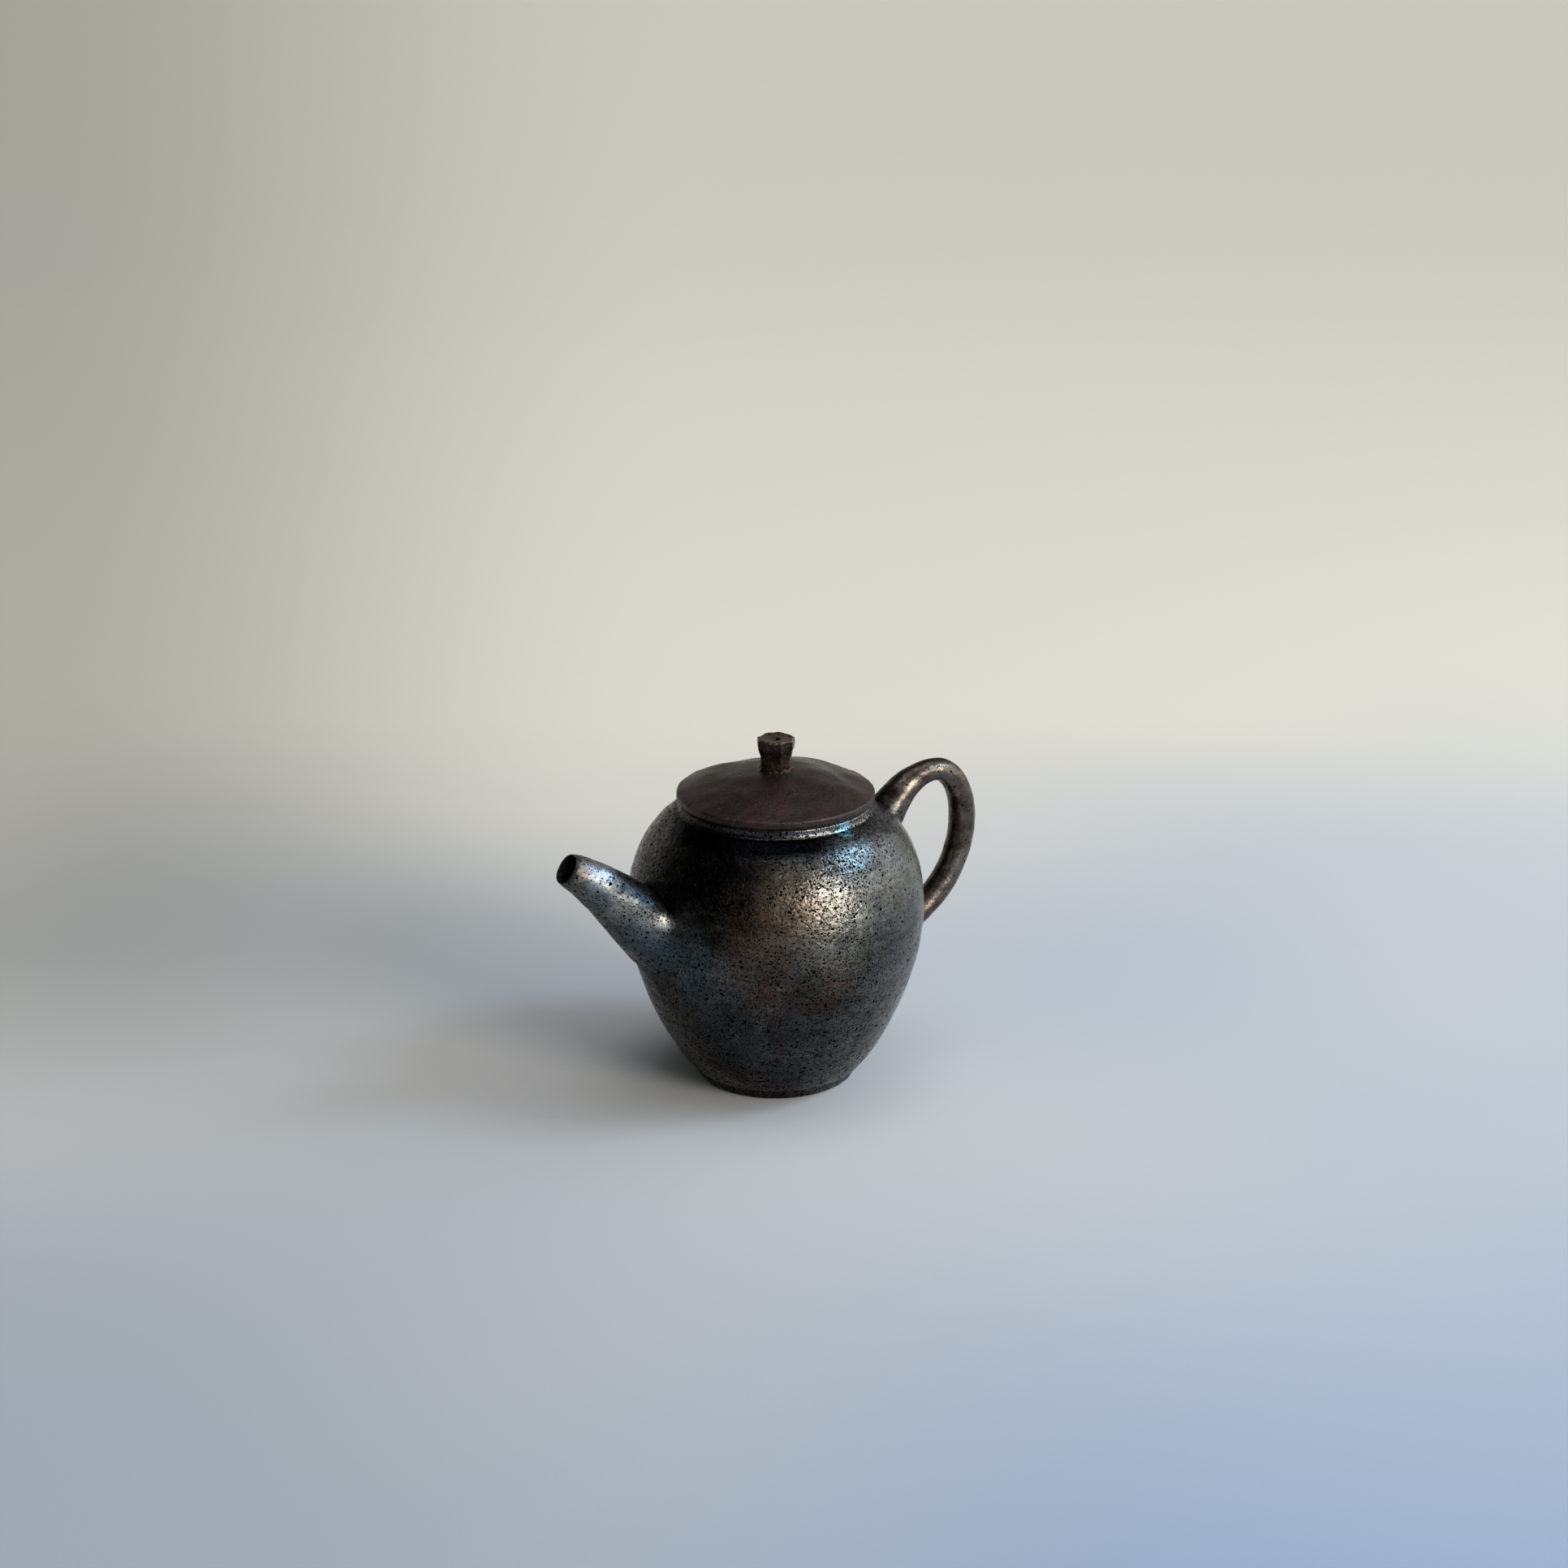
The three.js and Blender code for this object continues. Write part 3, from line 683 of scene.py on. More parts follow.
knob = {
    "ridges": [-59, -20, 19, 58, 97, 135, 174, 221, 258],   # the edges that the knife left, round the axis
    "stem": 5.35,
    "head": 6.35,
    "taper": (3.6, 8.6),        # heights between which the stem widens to the head
    "height": 10.65,
    "edge": 0.55,
    "dish": 0.45,
    "hollow": 1.6,              # 1 cuts flat facets, and more than 1 scoops them
    "sharpness": 34,
    "uneven": 0.03,
    "slip": 0.6,
    "slipReach": 0.45,
    "lumps": [(0.04, 4, 72), (0.03, 1.7, 73)],
    "sides": 240,
    "seat": 9.93 + 0.3,
}


# Radius of the cut knob: the soft minimum -log(sum exp(-k d / cos(a - a_i)^hollow)) / k over its facets,
# where d is each facet's distance from the axis at that height. It also gives how near a ridge is.
def knobOutline(height, angle):
    random = np.random.default_rng(71)
    ridges = np.radians(knob["ridges"])
    after = np.append(ridges[1:], ridges[0] + 2 * np.pi)
    corner = knob["stem"] + (knob["head"] - knob["stem"]) * smoothStep(height, *knob["taper"])
    total, nearest = 0, 0
    for facing, half in zip((ridges + after) / 2, (after - ridges) / 2):
        lean = 1 + random.uniform(-1, 1) * knob["uneven"] * smoothStep(height, 8, 2)
        away = corner * math.cos(half) ** knob["hollow"] * lean
        turnedAway = np.maximum(np.cos(angle - facing), 0.05) ** knob["hollow"]
        share = np.exp(-knob["sharpness"] * away / turnedAway)
        total, nearest = total + share, np.maximum(nearest, share)
    return -np.log(total) / knob["sharpness"], 1 - nearest / total


# The knob's points: radius = hole + (outline + slip at the foot - hole) * share, for rows of (share,
# height) along the underside, up the facets, over the edge, across the dish and down the steam hole.
# It also gives the wear and the painted light: a painted reflection on the top face, worn edges with painted
# highlights along the ridges and round the top, and painted glints on the slip at the foot.
def knobGrid():
    angle = around(knob["sides"])
    top, edge, hole, dish = knob["height"], knob["edge"], lid["hole"], knob["dish"]
    rows = np.concatenate([
        straight((0.0, -0.6), (1.0, -0.6), 8),
        straight((1.0, -0.5), (1.0, top - edge), 84),
        bezier([(1.0, top - edge), (1.0, top), (1 - edge / knob["head"], top)], 7)[1:],
        evenly(np.array([(0.88, top - 0.02), (0.7, top - 0.7 * dish), (0.17, top - dish)]), 24),
        bezier([(0.16, top - dish), (0.03, top - dish - 0.05), (0.0, top - dish - 0.8)], 8)[1:],
        straight((0.0, top - dish - 1.2), (0.0, -0.4), 16),
    ])
    share, height = rows[:, :1], rows[:, 1:]
    cut, ridge = knobOutline(height, angle)
    slip = knob["slip"] * np.exp(-np.maximum(height + 0.25, 0) / knob["slipReach"])
    radius = hole + (cut + slip - hole) * share
    grid = turned(radius, angle, height)
    marks = relief(grid, knob["lumps"])
    marks = marks + smoothStep(height, 1.4, 0) * (0.3 * lumps(grid, 2.6, 75) - 0.1)
    grid = widened(grid, 1 + marks * share / np.maximum(radius, 1))
    grid[..., 2] += 0.16 * (lumps(grid, 3.6, 74) - 0.5) * share * smoothStep(height, top - 2.5, top)
    grid[..., 2] += lid["seat"] + knob["seat"]
    # painted light in the wear: a highlight with some wear round the top edge, glints on the pale slip at
    # the foot, a reflection on the top face, and a highlight with some wear along each ridge
    rim = bell(share - 0.985, 0.035) * smoothStep(height, top - 0.7, top - 0.2)
    slipAndGlint = 0.5 * smoothStep(height, 0.8, 0.2) * smoothStep(lumps(grid, 3, 76), 0.5, 1.2)
    paintedFaceReflection = 0.5 * smoothStep(height, top - 0.8, top - 0.5) * smoothStep(share, 0.13, 0.24)
    ridgeWearAndHighlight = (ridge * 2) ** 6 * 0.5 * share * smoothStep(height, 0.5, 2)
    return grid, np.clip(paintedFaceReflection + ridgeWearAndHighlight + rim + slipAndGlint * share, 0, 1)


knobPoints, knobWearAndPaintedLight = knobGrid()
knobPiece = putMesh("clay_lid_knob", knobPoints, rowsClose=True, wearAndPaintedLight=knobWearAndPaintedLight)
print("lid, flange and knob made")


# Materials: small helpers that add a node and give back the socket that it makes

def newTree(name):
    material = bpy.data.materials.new(name)
    material.use_nodes = True
    tree = material.node_tree
    return material, tree, tree.nodes["Principled BSDF"]


def setAll(thing, settings):
    for key, value in settings.items():
        setattr(thing, key, value)


# Links a node's inputs to sockets, or sets their values. A colour of three numbers gets its fourth.
def fill(node, inputs):
    for key, value in inputs.items():
        socket = node.inputs[key]
        if isinstance(value, bpy.types.NodeSocket):
            socket.id_data.links.new(value, socket)
        else:
            socket.default_value = (*value, 1) if socket.type == "RGBA" else value


# A new node with its settings and its inputs filled, in the tree that its inputs come from.
def put(kind, inputs, tree=None, **settings):
    if tree is None:
        tree = next(value for value in inputs.values() if isinstance(value, bpy.types.NodeSocket)).id_data
    made = tree.nodes.new(kind)
    setAll(made, settings)
    fill(made, inputs)
    return made


def placeOn(tree, kind="Object"):
    return tree.nodes.new("ShaderNodeTexCoord").outputs[kind]


def millimetres(tree):
    scaled = {0: placeOn(tree), "Scale": 1 / mm}
    return put("ShaderNodeVectorMath", scaled, operation="SCALE").outputs[0]


def moved(vector, shift, scale=(1, 1, 1)):
    return put("ShaderNodeMapping", {"Vector": vector, "Scale": scale, "Location": shift}).outputs[0]


def noise(vector, size, detail=3, roughness=0.55, distortion=0):
    inputs = {"Vector": vector, "Scale": 1 / size, "Detail": detail}
    inputs.update({"Roughness": roughness, "Distortion": distortion})
    return put("ShaderNodeTexNoise", inputs).outputs["Fac"]


def remap(value, low, high, newLow=0.0, newHigh=1.0):
    inputs = {"Value": value, "From Min": low, "From Max": high, "To Min": newLow, "To Max": newHigh}
    return put("ShaderNodeMapRange", inputs, interpolation_type="SMOOTHSTEP").outputs["Result"]


def combine(operation, total, *others):
    for other in others:
        total = put("ShaderNodeMath", {0: total, 1: other}, operation=operation).outputs[0]
    return total


def times(*values):
    return combine("MULTIPLY", *values)


def plus(*values):
    return combine("ADD", *values)


def mixColours(share, first, second, blend="MIX"):
    inputs = {0: share, 6: first, 7: second}
    return put("ShaderNodeMix", inputs, data_type="RGBA", blend_type=blend).outputs[2]


def multiplied(colour, tone):
    return mixColours(1.0, colour, tone, "MULTIPLY")


def mixNumbers(share, first, second):
    return put("ShaderNodeMix", {0: share, 2: first, 3: second}).outputs[0]


def bump(shader, height, depth, strength=1.0):
    inputs = {"Height": height, "Strength": strength, "Distance": depth * mm}
    fill(shader, {"Normal": put("ShaderNodeBump", inputs).outputs[0]})


# How far a place lies along a direction: their dot product
def component(vector, direction):
    return put("ShaderNodeVectorMath", {0: vector, 1: direction}, operation="DOT_PRODUCT").outputs["Value"]


# 1 at a place on the object and 0 from `reach` on, both in millimetres
def near(vector, place, reach):
    distance = put("ShaderNodeVectorMath", {0: vector, 1: place}, operation="DISTANCE").outputs["Value"]
    return remap(distance, reach, reach * 0.15)


def attribute(tree, name):
    return put("ShaderNodeAttribute", {}, tree, attribute_name=name).outputs["Fac"]


# Dots of many sizes, one in each cell of `size` millimetres whose own number is below `density`:
# 1 within the dot's radius of the cell's middle and 0 outside, with the edge made uneven by `ragged`.
def dots(vector, size, density, ragged, radius=0.2):
    cells = put("ShaderNodeTexVoronoi", {"Vector": vector, "Scale": 1 / size}).outputs
    own = put("ShaderNodeSeparateColor", {0: cells["Color"]}).outputs
    away = combine("SUBTRACT", cells["Distance"], times(own[1], radius))
    away = plus(away, remap(ragged, 0.3, 0.7, -0.1, 0.1))
    inside = remap(away, radius + 0.06, radius - 0.04)
    return times(inside, combine("LESS_THAN", own[0], density))


# Glaze with a metal sheen: graphite that turns to silver, bronze and steel blue, rusty low down, with fine
# black pits.
# All of it depends on the place on the pot, so it runs on across the luted joints. Some of its colour is
# painted light:
# paler smudges as highlights and reflections, darker ones as dark reflection and shade, a painted shade in
# the crease under the collar, and painted shade and highlight on the collar.
glaze = {
    "graphite": (0.029, 0.030, 0.029),
    "silver": (0.140, 0.138, 0.126),
    "paintedHighlightSilver": (0.210, 0.205, 0.187),
    "paintedWhiteSilverHighlight": (0.430, 0.435, 0.395),
    "paintedPaleBlueHighlight": (0.115, 0.146, 0.158),
    "paintedCyanHighlight": (0.26, 0.58, 0.72),
    "bronze": (0.175, 0.120, 0.076),
    "bronzeBrown": (0.138, 0.115, 0.092),
    "steelBlue": (0.048, 0.080, 0.106),
    "paintedDeepBlueReflection": (0.006, 0.020, 0.036),
    "satinAndPaintedSheen": (0.185, 0.195, 0.200),
    "paintedOliveHighlight": (0.215, 0.200, 0.160),
    "greyBrown": (0.060, 0.048, 0.040),
    "slate": (0.043, 0.059, 0.064),
    "gleam": (0.720, 0.720, 0.660),
    "paintedIceBlueSheen": (0.360, 0.410, 0.470),
    "teal": (0.050, 0.075, 0.080),
    "black": (0.008, 0.007, 0.006),
    "paintedCreaseShade": (0.0009, 0.0020, 0.0034),
    "redBronze": (0.085, 0.042, 0.028),
    "rust": (0.050, 0.022, 0.014),
    "brown": (0.015, 0.011, 0.009),
    "pit": (0.002, 0.002, 0.002),
    "dimTint": (0.035, 0.042, 0.045),   # what is left of the glancing reflection in the painted crease shade and the pits
    "roughness": (0.15, 0.30),
    "sideways": (0.875, -0.485, 0),     # to the right in the photograph
    # heights and places sideways over which each one sets in or dies away, some with its values there
    "creaseStart": (88, 91.5), "creaseEnd": (94.2, 93.9),
    "creaseRight": (26, 12, 0.2, 1), "creaseLeft": (-38, -20),
    "collarStart": (94.05, 94.4), "collarPaintedShade": (-10, -28), "collarPaintedHighlight": (-5, 24),
    "dimSideways": (21, -25), "dimHeights": (60, 38),
    "rustHeights": (66, 30, 0.1, 0.7),
    "pitHeights": (84, 91, 0, 0.3), "pitSideways": (24, 42, 1, 0.25),
    "cyanGleam": ((8, -32.3, 95.6), 4.6),   # place and reach
    "smallPits": (0.75, 0.22),          # size of the cells, and radius in shares of it
    "largePits": (1.6, 0.17),
}
# smudges: (colour, place on the pot, reach, strength); those marked below are painted light and shade
bodySmudges = [
    # painted highlights over a real silver glaze: the main highlight, the lit right side and the warm lower
    # end of the highlight
    ("silver", (0, -48, 79), 36, 0.9),
    ("silver", (34, -36, 71), 44, 1.0),
    ("paintedOliveHighlight", (-4, -49, 61), 19, 0.8),
    ("bronze", (-24, -40, 72), 24, 0.9),
    ("redBronze", (-34, -36, 72), 13, 0.8),
    # painted blue highlights on the shoulder, over a steel blue glaze
    ("steelBlue", (5, -41, 90), 15, 0.6),
    ("paintedPaleBlueHighlight", (6.3, -40.3, 88), 9, 0.95),
    ("paintedPaleBlueHighlight", (13.4, -37.4, 89.1), 7, 0.9),
    # painted sheen of the bright surroundings on the right, over a satin glaze
    ("satinAndPaintedSheen", (31, -32, 83), 20, 0.8),
    ("satinAndPaintedSheen", (26, -21, 93), 11, 0.9),
    ("satinAndPaintedSheen", (14, -43, 40), 22, 0.45),
    ("greyBrown", (-28, -40, 58), 20, 0.6),
    ("slate", (-8, -42, 30), 24, 0.7),
    ("redBronze", (-24, -42, 47), 14, 0.6),
    ("redBronze", (-8, -47, 46), 13, 0.55),
    ("teal", (-45, -20, 54), 17, 1.0),
    ("steelBlue", (-39, -25, 43), 17, 0.7),
    ("steelBlue", (-32, -28, 27), 18, 0.7),
    ("steelBlue", (-16, -33, 16), 13, 0.6),
    # painted dark reflection and shade on the upper left, away from the light
    ("black", (-46, -18, 87), 30, 0.95),
    ("black", (-33, -30, 91), 18, 0.8),
    ("black", (-41, -29, 70), 16, 0.9),
    ("brown", (-46, -6, 36), 17, 0.95),
    ("brown", (-30, -12, 12), 18, 0.95),
    ("brown", (-14, -30, 6), 20, 0.75),
    ("steelBlue", (8, -26, 3), 12, 0.7),
]
# towards the spout, and on it
potSmudges = bodySmudges + [
    # painted highlight along the lit band of the spout
    ("paintedWhiteSilverHighlight", (-67, -8, 80), 8, 0.7),
    ("paintedWhiteSilverHighlight", (-60, -10.5, 72.5), 10, 0.8),
    ("paintedWhiteSilverHighlight", (-54, -13, 67), 10, 0.8),
    ("steelBlue", (-68, -8, 76), 8, 0.8),
    ("steelBlue", (-60, -8, 64), 11, 0.9),
    ("steelBlue", (-52, -13, 58), 11, 0.9),
    ("black", (-64, -2, 63), 11, 0.6),
    # a painted pale blue sheen on top of the spout, and a painted dark reflection along its ridge
    ("paintedIceBlueSheen", (-66, -4.5, 85.5), 9, 1.0),
    ("paintedDeepBlueReflection", (-60, -7, 80), 7, 0.85),
    ("paintedDeepBlueReflection", (-55, -10, 75.5), 8, 0.95),
    ("paintedDeepBlueReflection", (-51, -12, 72), 7, 0.95),
    ("black", (-46, -14, 72), 9, 0.95),
    ("bronze", (-74, -5, 87), 7, 0.7),
    # a painted glint at the spout's root
    ("gleam", (-49.3, -15.8, 67.8), 4.4, 1.0),
]
handleSmudges = [
    ("brown", (58, 0, 99), 15, 0.4),
    ("brown", (72, 0, 84), 14, 0.2),
    ("silver", (44, -5, 84), 8, 0.8),
]


def glazeMaterial(
    name, base="graphite", shine="silver", mottle="steelBlue", smudges=(), matt=0.0, bare=None,
    bareMatt=0.7, collar=0.0, speckle=1.0,
):
    material, tree, shader = newTree(name)
    vector = millimetres(tree)
    height = put("ShaderNodeSeparateXYZ", {0: vector}).outputs[2]
    sideways = component(vector, glaze["sideways"])
    joined = attribute(tree, "joined")

    clouds = noise(moved(vector, (7, 3, 11)), 22, 5, 0.6, 0.5)
    patches = noise(moved(vector, (31, 8, 5), (1, 1, 1.5)), 7, 6, 0.65, 0.5)
    streaks = noise(moved(vector, (0, 0, 0), (0.3, 0.3, 1.6)), 5, 4, 0.6, 0.3)
    grain = noise(vector, 1.1, 3, 0.6)
    flecks = noise(moved(vector, (3, 1, 8)), 2.2, 2, 0.5, 0.4)
    fine = noise(vector, 0.35, 2, 0.6)
    crowd = noise(moved(vector, (5, 40, 17)), 12, 3, 0.6)
    specks = noise(moved(vector, (2, 9, 4), (1, 1, 1.1)), 0.8, 1, 0.5)

    ground = mixColours(joined, glaze[base], glaze["graphite"])
    lighter = mixColours(joined, glaze[shine], glaze["silver"])
    darker = mixColours(joined, glaze[mottle], glaze["steelBlue"])
    colour = mixColours(remap(clouds, 0.38, 0.68, 0, 0.6), ground, lighter)
    colour = mixColours(remap(patches, 0.46, 0.66, 0, 0.6), colour, darker)
    for smudge, place, reach, strength in smudges:
        mottled = remap(patches, 0.36, 0.60, max(1.6 * strength - 1, 0), strength)
        colour = mixColours(times(near(vector, place, reach), mottled), colour, glaze[smudge])
    # painted shade: under the collar the glaze is painted almost black, less so towards the right, for the
    # shade and dark reflection in the hollow there
    paintedCreaseShade = times(
        remap(height, *glaze["creaseStart"]), remap(height, *glaze["creaseEnd"]),
        remap(sideways, *glaze["creaseRight"]), remap(sideways, *glaze["creaseLeft"]),
    )
    colour = mixColours(paintedCreaseShade, colour, glaze["paintedCreaseShade"])
    # painted shade and highlight: the collar is painted black at the left and bright at the right, with a
    # painted cyan highlight, after how the light falls on it
    above = remap(height, *glaze["collarStart"])
    for part, shade in (("collarPaintedShade", "black"), ("collarPaintedHighlight", "paintedHighlightSilver")):
        share = times(remap(sideways, *glaze[part]), above, collar)
        colour = mixColours(share, colour, glaze[shade])
    colour = mixColours(times(near(vector, *glaze["cyanGleam"]), collar), colour, glaze["paintedCyanHighlight"])
    broken = plus(times(patches, 0.8), times(specks, 0.8))
    rusty = times(remap(broken, 0.81, 0.88), remap(height, *glaze["rustHeights"]))
    colour = mixColours(rusty, colour, glaze["rust"])

    # value: streaks round the pot, a dim lower left, and light flecks in a darker ground
    dim = times(remap(sideways, *glaze["dimSideways"]), remap(height, *glaze["dimHeights"]))
    tone = times(
        remap(streaks, 0.3, 0.7, 0.75, 1.2), remap(dim, 0, 1, 1, 0.58),
        remap(grain, 0.42, 0.58, 1 - 0.22 * speckle, 1 + 0.22 * speckle),
    )
    colour = multiplied(colour, tone)

    # black pits of two sizes: thicker in some places, most near the crease, and few at the far right
    density = times(remap(crowd, 0.35, 0.65, 0.6, 1.1), mixNumbers(joined, speckle, 1.0))
    density = plus(density, remap(height, *glaze["pitHeights"]))
    density = times(density, remap(sideways, *glaze["pitSideways"]))
    (smallSize, smallRadius), (largeSize, largeRadius) = glaze["smallPits"], glaze["largePits"]
    small = dots(vector, smallSize, density, fine, smallRadius)
    large = dots(moved(vector, (8, 5, 4)), largeSize, times(density, 0.5), fine, largeRadius)
    pits = combine("MAXIMUM", small, large)
    colour = mixColours(pits, colour, glaze["pit"])

    smooth, rough = glaze["roughness"]
    roughness = remap(plus(flecks, patches), 0.8, 1.15, smooth + matt, rough + matt)
    roughness = mixNumbers(pits, roughness, 0.5)
    metal = 1.0
    if bare:
        wornAndLit = times(attribute(tree, "wearAndPaintedLight"), remap(grain, 0.35, 0.55, 0.5, 1))
        colour = mixColours(wornAndLit, colour, bare)
        roughness = mixNumbers(wornAndLit, roughness, bareMatt)
        metal = combine("SUBTRACT", 1.0, wornAndLit)
    # a metal's glancing reflection is dimmed in the painted crease shade, and in the pits
    tint = mixColours(combine("MAXIMUM", paintedCreaseShade, pits), (1, 1, 1), glaze["dimTint"])
    fill(shader, {"Base Color": colour, "Roughness": roughness, "Metallic": metal, "Specular Tint": tint})
    skin = plus(times(flecks, 1.2), times(grain, 0.9), times(fine, 0.12))
    bump(shader, plus(skin, times(pits, -0.5), times(streaks, 0.8)), 0.06 + 0.10 * speckle)
    return material


# Unglazed or matt clay: two browns in soft clouds, with dark specks and pale flecks, and paler where the
# edge is worn;
# on the lid and the knob that paler edge colour also paints highlights and a reflection.
def clayMaterial(
    name, main, second, speck, edge, roughness=(0.55, 0.8), shine=0.5, tint=(1, 1, 1), wornAndLit=False,
):
    material, tree, shader = newTree(name)
    vector = millimetres(tree)
    clouds = noise(vector, 12, 5, 0.6, 0.5)
    grain = noise(vector, 0.8, 5, 0.68)
    fine = noise(vector, 0.3, 3, 0.6)
    scraped = noise(moved(vector, (7, 2, 5)), 3.5, 3, 0.55, 0.6)
    colour = mixColours(remap(clouds, 0.38, 0.64), main, second)
    colour = multiplied(colour, remap(grain, 0.38, 0.62, 0.5, 1.6))
    specks = dots(moved(vector, (3, 8, 1)), 0.9, 0.35, fine)
    colour = mixColours(times(specks, 0.8), colour, speck)
    pale = dots(moved(vector, (9, 2, 6)), 0.9, 0.14, fine, 0.16)
    colour = mixColours(times(pale, 0.8), colour, edge)
    # painted light: the wear attribute also holds painted highlights and reflections, put in the pale edge
    # colour
    if wornAndLit:
        share = times(attribute(tree, "wearAndPaintedLight"), remap(grain, 0.44, 0.58, 0.05, 1))
        colour = mixColours(share, colour, edge)
    fill(shader, {"Base Color": colour, "Roughness": remap(plus(grain, clouds), 0.7, 1.3, *roughness)})
    fill(shader, {"Specular IOR Level": shine, "Specular Tint": tint})
    skin = plus(times(grain, 0.9), times(fine, 0.35), times(scraped, 1.6))
    bump(shader, plus(skin, times(specks, -0.4), times(pale, 0.4)), 0.17)
    return material


clays = {
    "inner": {
        "main": (0.050, 0.040, 0.035), "second": (0.075, 0.055, 0.045), "speck": (0.010, 0.010, 0.010),
        "edge": (0.100, 0.080, 0.060),
    },
    "lid": {
        "main": (0.007, 0.004, 0.004), "second": (0.018, 0.006, 0.006), "speck": (0.003, 0.002, 0.002),
        "edge": (0.060, 0.036, 0.026), "roughness": (0.24, 0.40), "shine": 0.42,
        "tint": (1.0, 0.82, 0.72),
    },
    "flange": {
        "main": (0.060, 0.040, 0.032), "second": (0.085, 0.055, 0.042), "speck": (0.012, 0.010, 0.008),
        "edge": (0.100, 0.080, 0.060), "roughness": (0.70, 0.90),
    },
    "knob": {
        "main": (0.004, 0.0024, 0.0015), "second": (0.014, 0.006, 0.003), "speck": (0.003, 0.002, 0.002),
        "edge": (0.130, 0.076, 0.047), "roughness": (0.14, 0.24), "shine": 0.32,
        "tint": (1.0, 0.70, 0.53),
    },
}

# (piece, CAD node, body, slot, material)
dressed = [
    (potBody, "pot_body", "pot", "body_glaze", glazeMaterial(
        "body glaze", smudges=potSmudges, collar=0.8, bare=(0.050, 0.038, 0.030), bareMatt=0.6)),
    (footRing, "foot_ring", "pot", "foot_glaze", glazeMaterial(
        "foot glaze", smudges=bodySmudges, matt=0.08, bare=(0.040, 0.028, 0.022))),
    (spoutPiece, "spout", "pot", "spout_glaze", glazeMaterial(
        "spout glaze", base="silver", smudges=potSmudges, matt=0.15, bare=(0.005, 0.004, 0.004),
        bareMatt=0.25, speckle=0.6)),
    (handlePiece, "handle", "pot", "handle_glaze", glazeMaterial(
        "handle glaze", base="bronzeBrown", shine="bronzeBrown", mottle="brown", smudges=handleSmudges,
        matt=0.04, speckle=0.4)),
    (strainerPiece, "strainer", "pot", "inner_clay", clayMaterial("inner clay", **clays["inner"])),
    (lidPiece, "lid", "lid", "lid_clay", clayMaterial("lid clay", wornAndLit=True, **clays["lid"])),
    (flangePiece, "lid_flange", "lid", "flange_clay", clayMaterial("flange clay", **clays["flange"])),
    (knobPiece, "lid_knob", "lid", "knob_clay", clayMaterial("knob clay", wornAndLit=True, **clays["knob"])),
]
for piece, nodeName, body, slotName, material in dressed:
    piece.data.materials.clear()
    piece.data.materials.append(material)
    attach(piece, body)
    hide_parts(nodeName)
print("pieces dressed")


# Floor: a wide pale sheet of paper, with painted light and shade: warm and light far behind the pot, cool
# and darker in front of it, and darker towards the left

stage = {
    "reach": 16000,
    "drop": 0.2,                  # below the foot, so that the two faces don't meet
    "cool": (0.43, 0.465, 0.52),
    "coolRight": (0.33, 0.43, 0.62),
    "warm": (0.86, 0.80, 0.69),
    "far": (0.80, 0.785, 0.70),
    # metres along the view, from the pot
    "turn": (-0.3, 0.4),          # over these cool turns to warm,
    "turnFar": (0.4, 2.2),        # and warm to far
    "turnFray": 0.15,
    "lightTurn": (0.12, -0.1),    # over these the light at the left turns from far to close
    "fromCamera": (0.86, 0.3),    # the pot's distance from the camera, and the least one that is used
    # metres to the right, per metre from the camera
    "fan": (-0.28, -0.03),        # over these it grows lighter
    "coolFan": (-0.2, 0.28),      # and bluer
    "fanLight": (0.62, 0.98),     # its light at the left, far away and close to
}
corners = np.array([(-1, -1, 0), (1, -1, 0), (1, 1, 0), (-1, 1, 0)]) * stage["reach"]
floor = putFaces("floor", corners - (0, 0, stage["drop"]), [(0, 1, 2, 3)])
floorMaterial, tree, shader = newTree("paper")
onFloor = placeOn(tree)
forward = Vector((view["forward"][0], view["forward"][1], 0)).normalized()
ahead = component(onFloor, forward)
across = component(onFloor, forward.cross(Vector((0, 0, 1))))
fray = stage["turnFray"]
frayed = plus(ahead, remap(noise(onFloor, 0.7, 2, 0.5), 0.3, 0.7, -fray, fray))
cameraBack, leastAway = stage["fromCamera"]
fan = combine("DIVIDE", across, combine("MAXIMUM", plus(ahead, cameraBack), leastAway))
# painted shade: the front of the floor is painted cool and darker than the warm far part
cool = mixColours(remap(fan, *stage["coolFan"]), stage["cool"], stage["coolRight"])
colour = mixColours(remap(frayed, *stage["turn"]), cool, stage["warm"])
colour = mixColours(remap(frayed, *stage["turnFar"]), colour, stage["far"])
# painted shade: the floor is painted darker towards the left
atLeft = remap(ahead, *stage["lightTurn"], *stage["fanLight"])
colour = multiplied(colour, mixNumbers(remap(fan, *stage["fan"]), atLeft, 1.0))
fill(shader, {"Base Color": colour, "Roughness": 0.85, "Specular IOR Level": 0.2})
bump(shader, noise(onFloor, 0.0012, 3, 0.6), 0.08, 0.5)
floor.data.materials.append(floorMaterial)
print("floor ready")


# Light: low warm daylight from the right, a smaller cool window above it, and a dim room

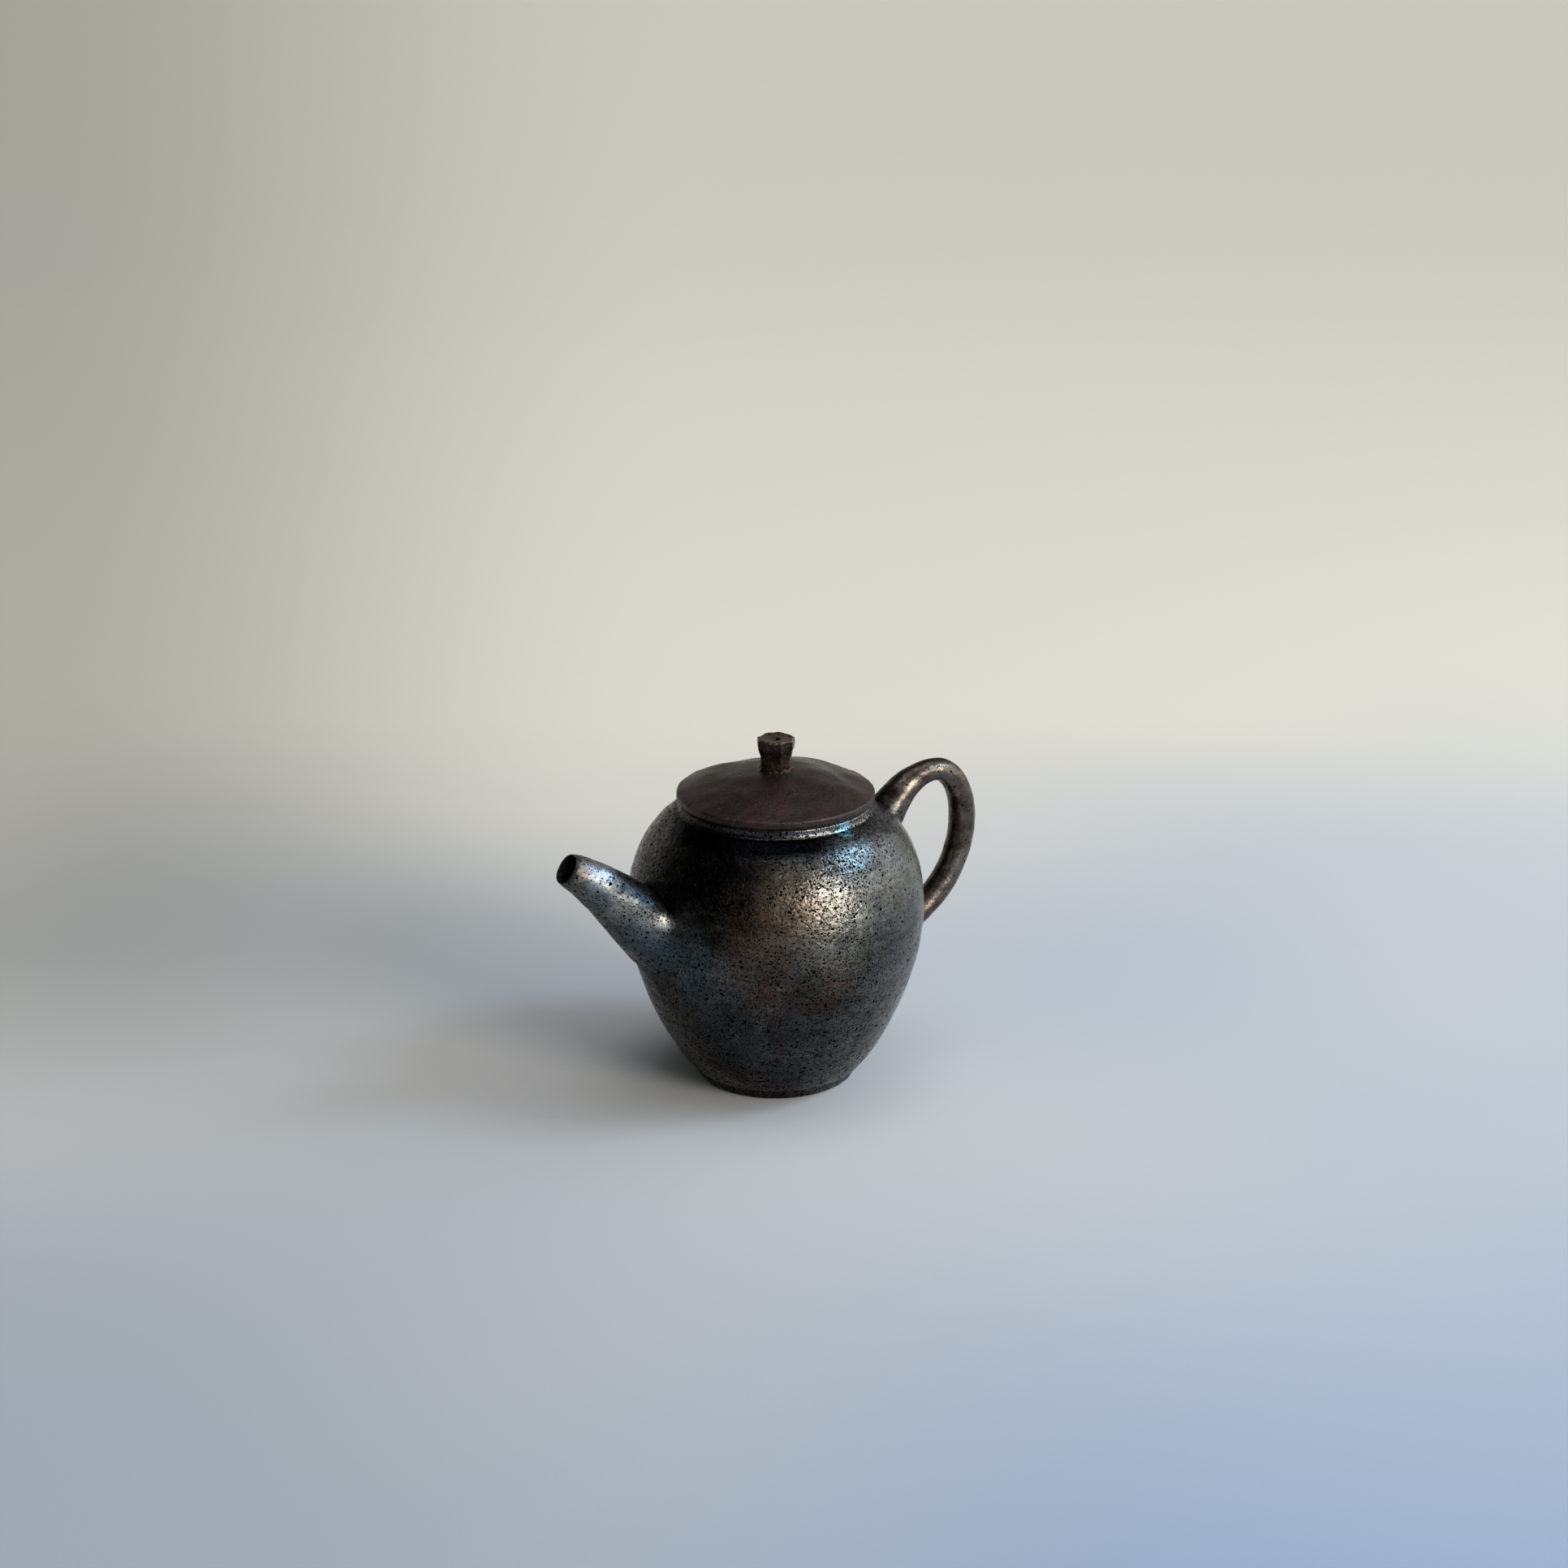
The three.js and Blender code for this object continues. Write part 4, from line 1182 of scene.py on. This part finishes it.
# A light at a distance (metres) in a direction from the pot's middle, facing it
def putLight(name, kind, azimuth, elevation, distance=1.6, **settings):
    data = bpy.data.lights.new(name, kind)
    setAll(data, settings)
    lamp = putObject(name, data)
    a, e = math.radians(azimuth), math.radians(elevation)
    direction = Vector((math.cos(a) * math.cos(e), math.sin(a) * math.cos(e), math.sin(e)))
    lamp.location = Vector((0, 0, 0.06)) + direction * distance
    lamp.rotation_euler = (-direction).to_track_quat("-Z", "Y").to_euler()


putLight("daylight", "SUN", -73, 20, energy=1.55, angle=math.radians(23), color=(1.0, 0.93, 0.82))
window = {"shape": "RECTANGLE", "size": 0.42, "size_y": 0.34, "energy": 8, "color": (0.55, 0.78, 1.0)}
putLight("window", "AREA", -32, 43, **window)

# The room's light depends on its direction only: bright on the right and overhead, dark from the left
# round to the camera's side, and behind the pot pale low down and dark above.
room = {
    "right": (1.75, 1.80, 1.85),
    "left": (0.006, 0.006, 0.006),
    "backdrop": (0.40, 0.39, 0.35),
    "above": (0.03, 0.03, 0.03),
    "overhead": (2.2, 2.2, 2.2),
    "rightSide": (-15, -0.65, 0.75),    # azimuth, and the cosines over which dark turns to bright
    "highUp": (0.40, 0.85, 1.0, 0.45),  # sines of elevation, and the share of light at each
    "backSide": (70, 0.2, 0.7),
    "backdropTop": (0.33, 0.52),        # sines of elevation
    "overheadStart": (0.93, 0.99),
}
world = bpy.data.worlds.new("room")
world.use_nodes = True
bpy.context.scene.world = world
direction = placeOn(world.node_tree, "Generated")
upward = put("ShaderNodeSeparateXYZ", {0: direction}).outputs[2]


# 0 to 1 as the cosine between the direction and an azimuth goes from `dark` to `bright`
def facing(azimuth, dark, bright):
    a = math.radians(azimuth)
    return remap(component(direction, (math.cos(a), math.sin(a), 0)), dark, bright)


wall = mixColours(facing(*room["rightSide"]), room["left"], room["right"])
wall = multiplied(wall, remap(upward, *room["highUp"]))
backdrop = mixColours(remap(upward, *room["backdropTop"]), room["backdrop"], room["above"])
wall = mixColours(facing(*room["backSide"]), wall, backdrop)
sky = mixColours(remap(upward, *room["overheadStart"]), wall, room["overhead"])
fill(world.node_tree.nodes["Background"], {"Color": sky, "Strength": 1.0})
bpy.context.scene.view_settings.view_transform = "Standard"
print("light ready")
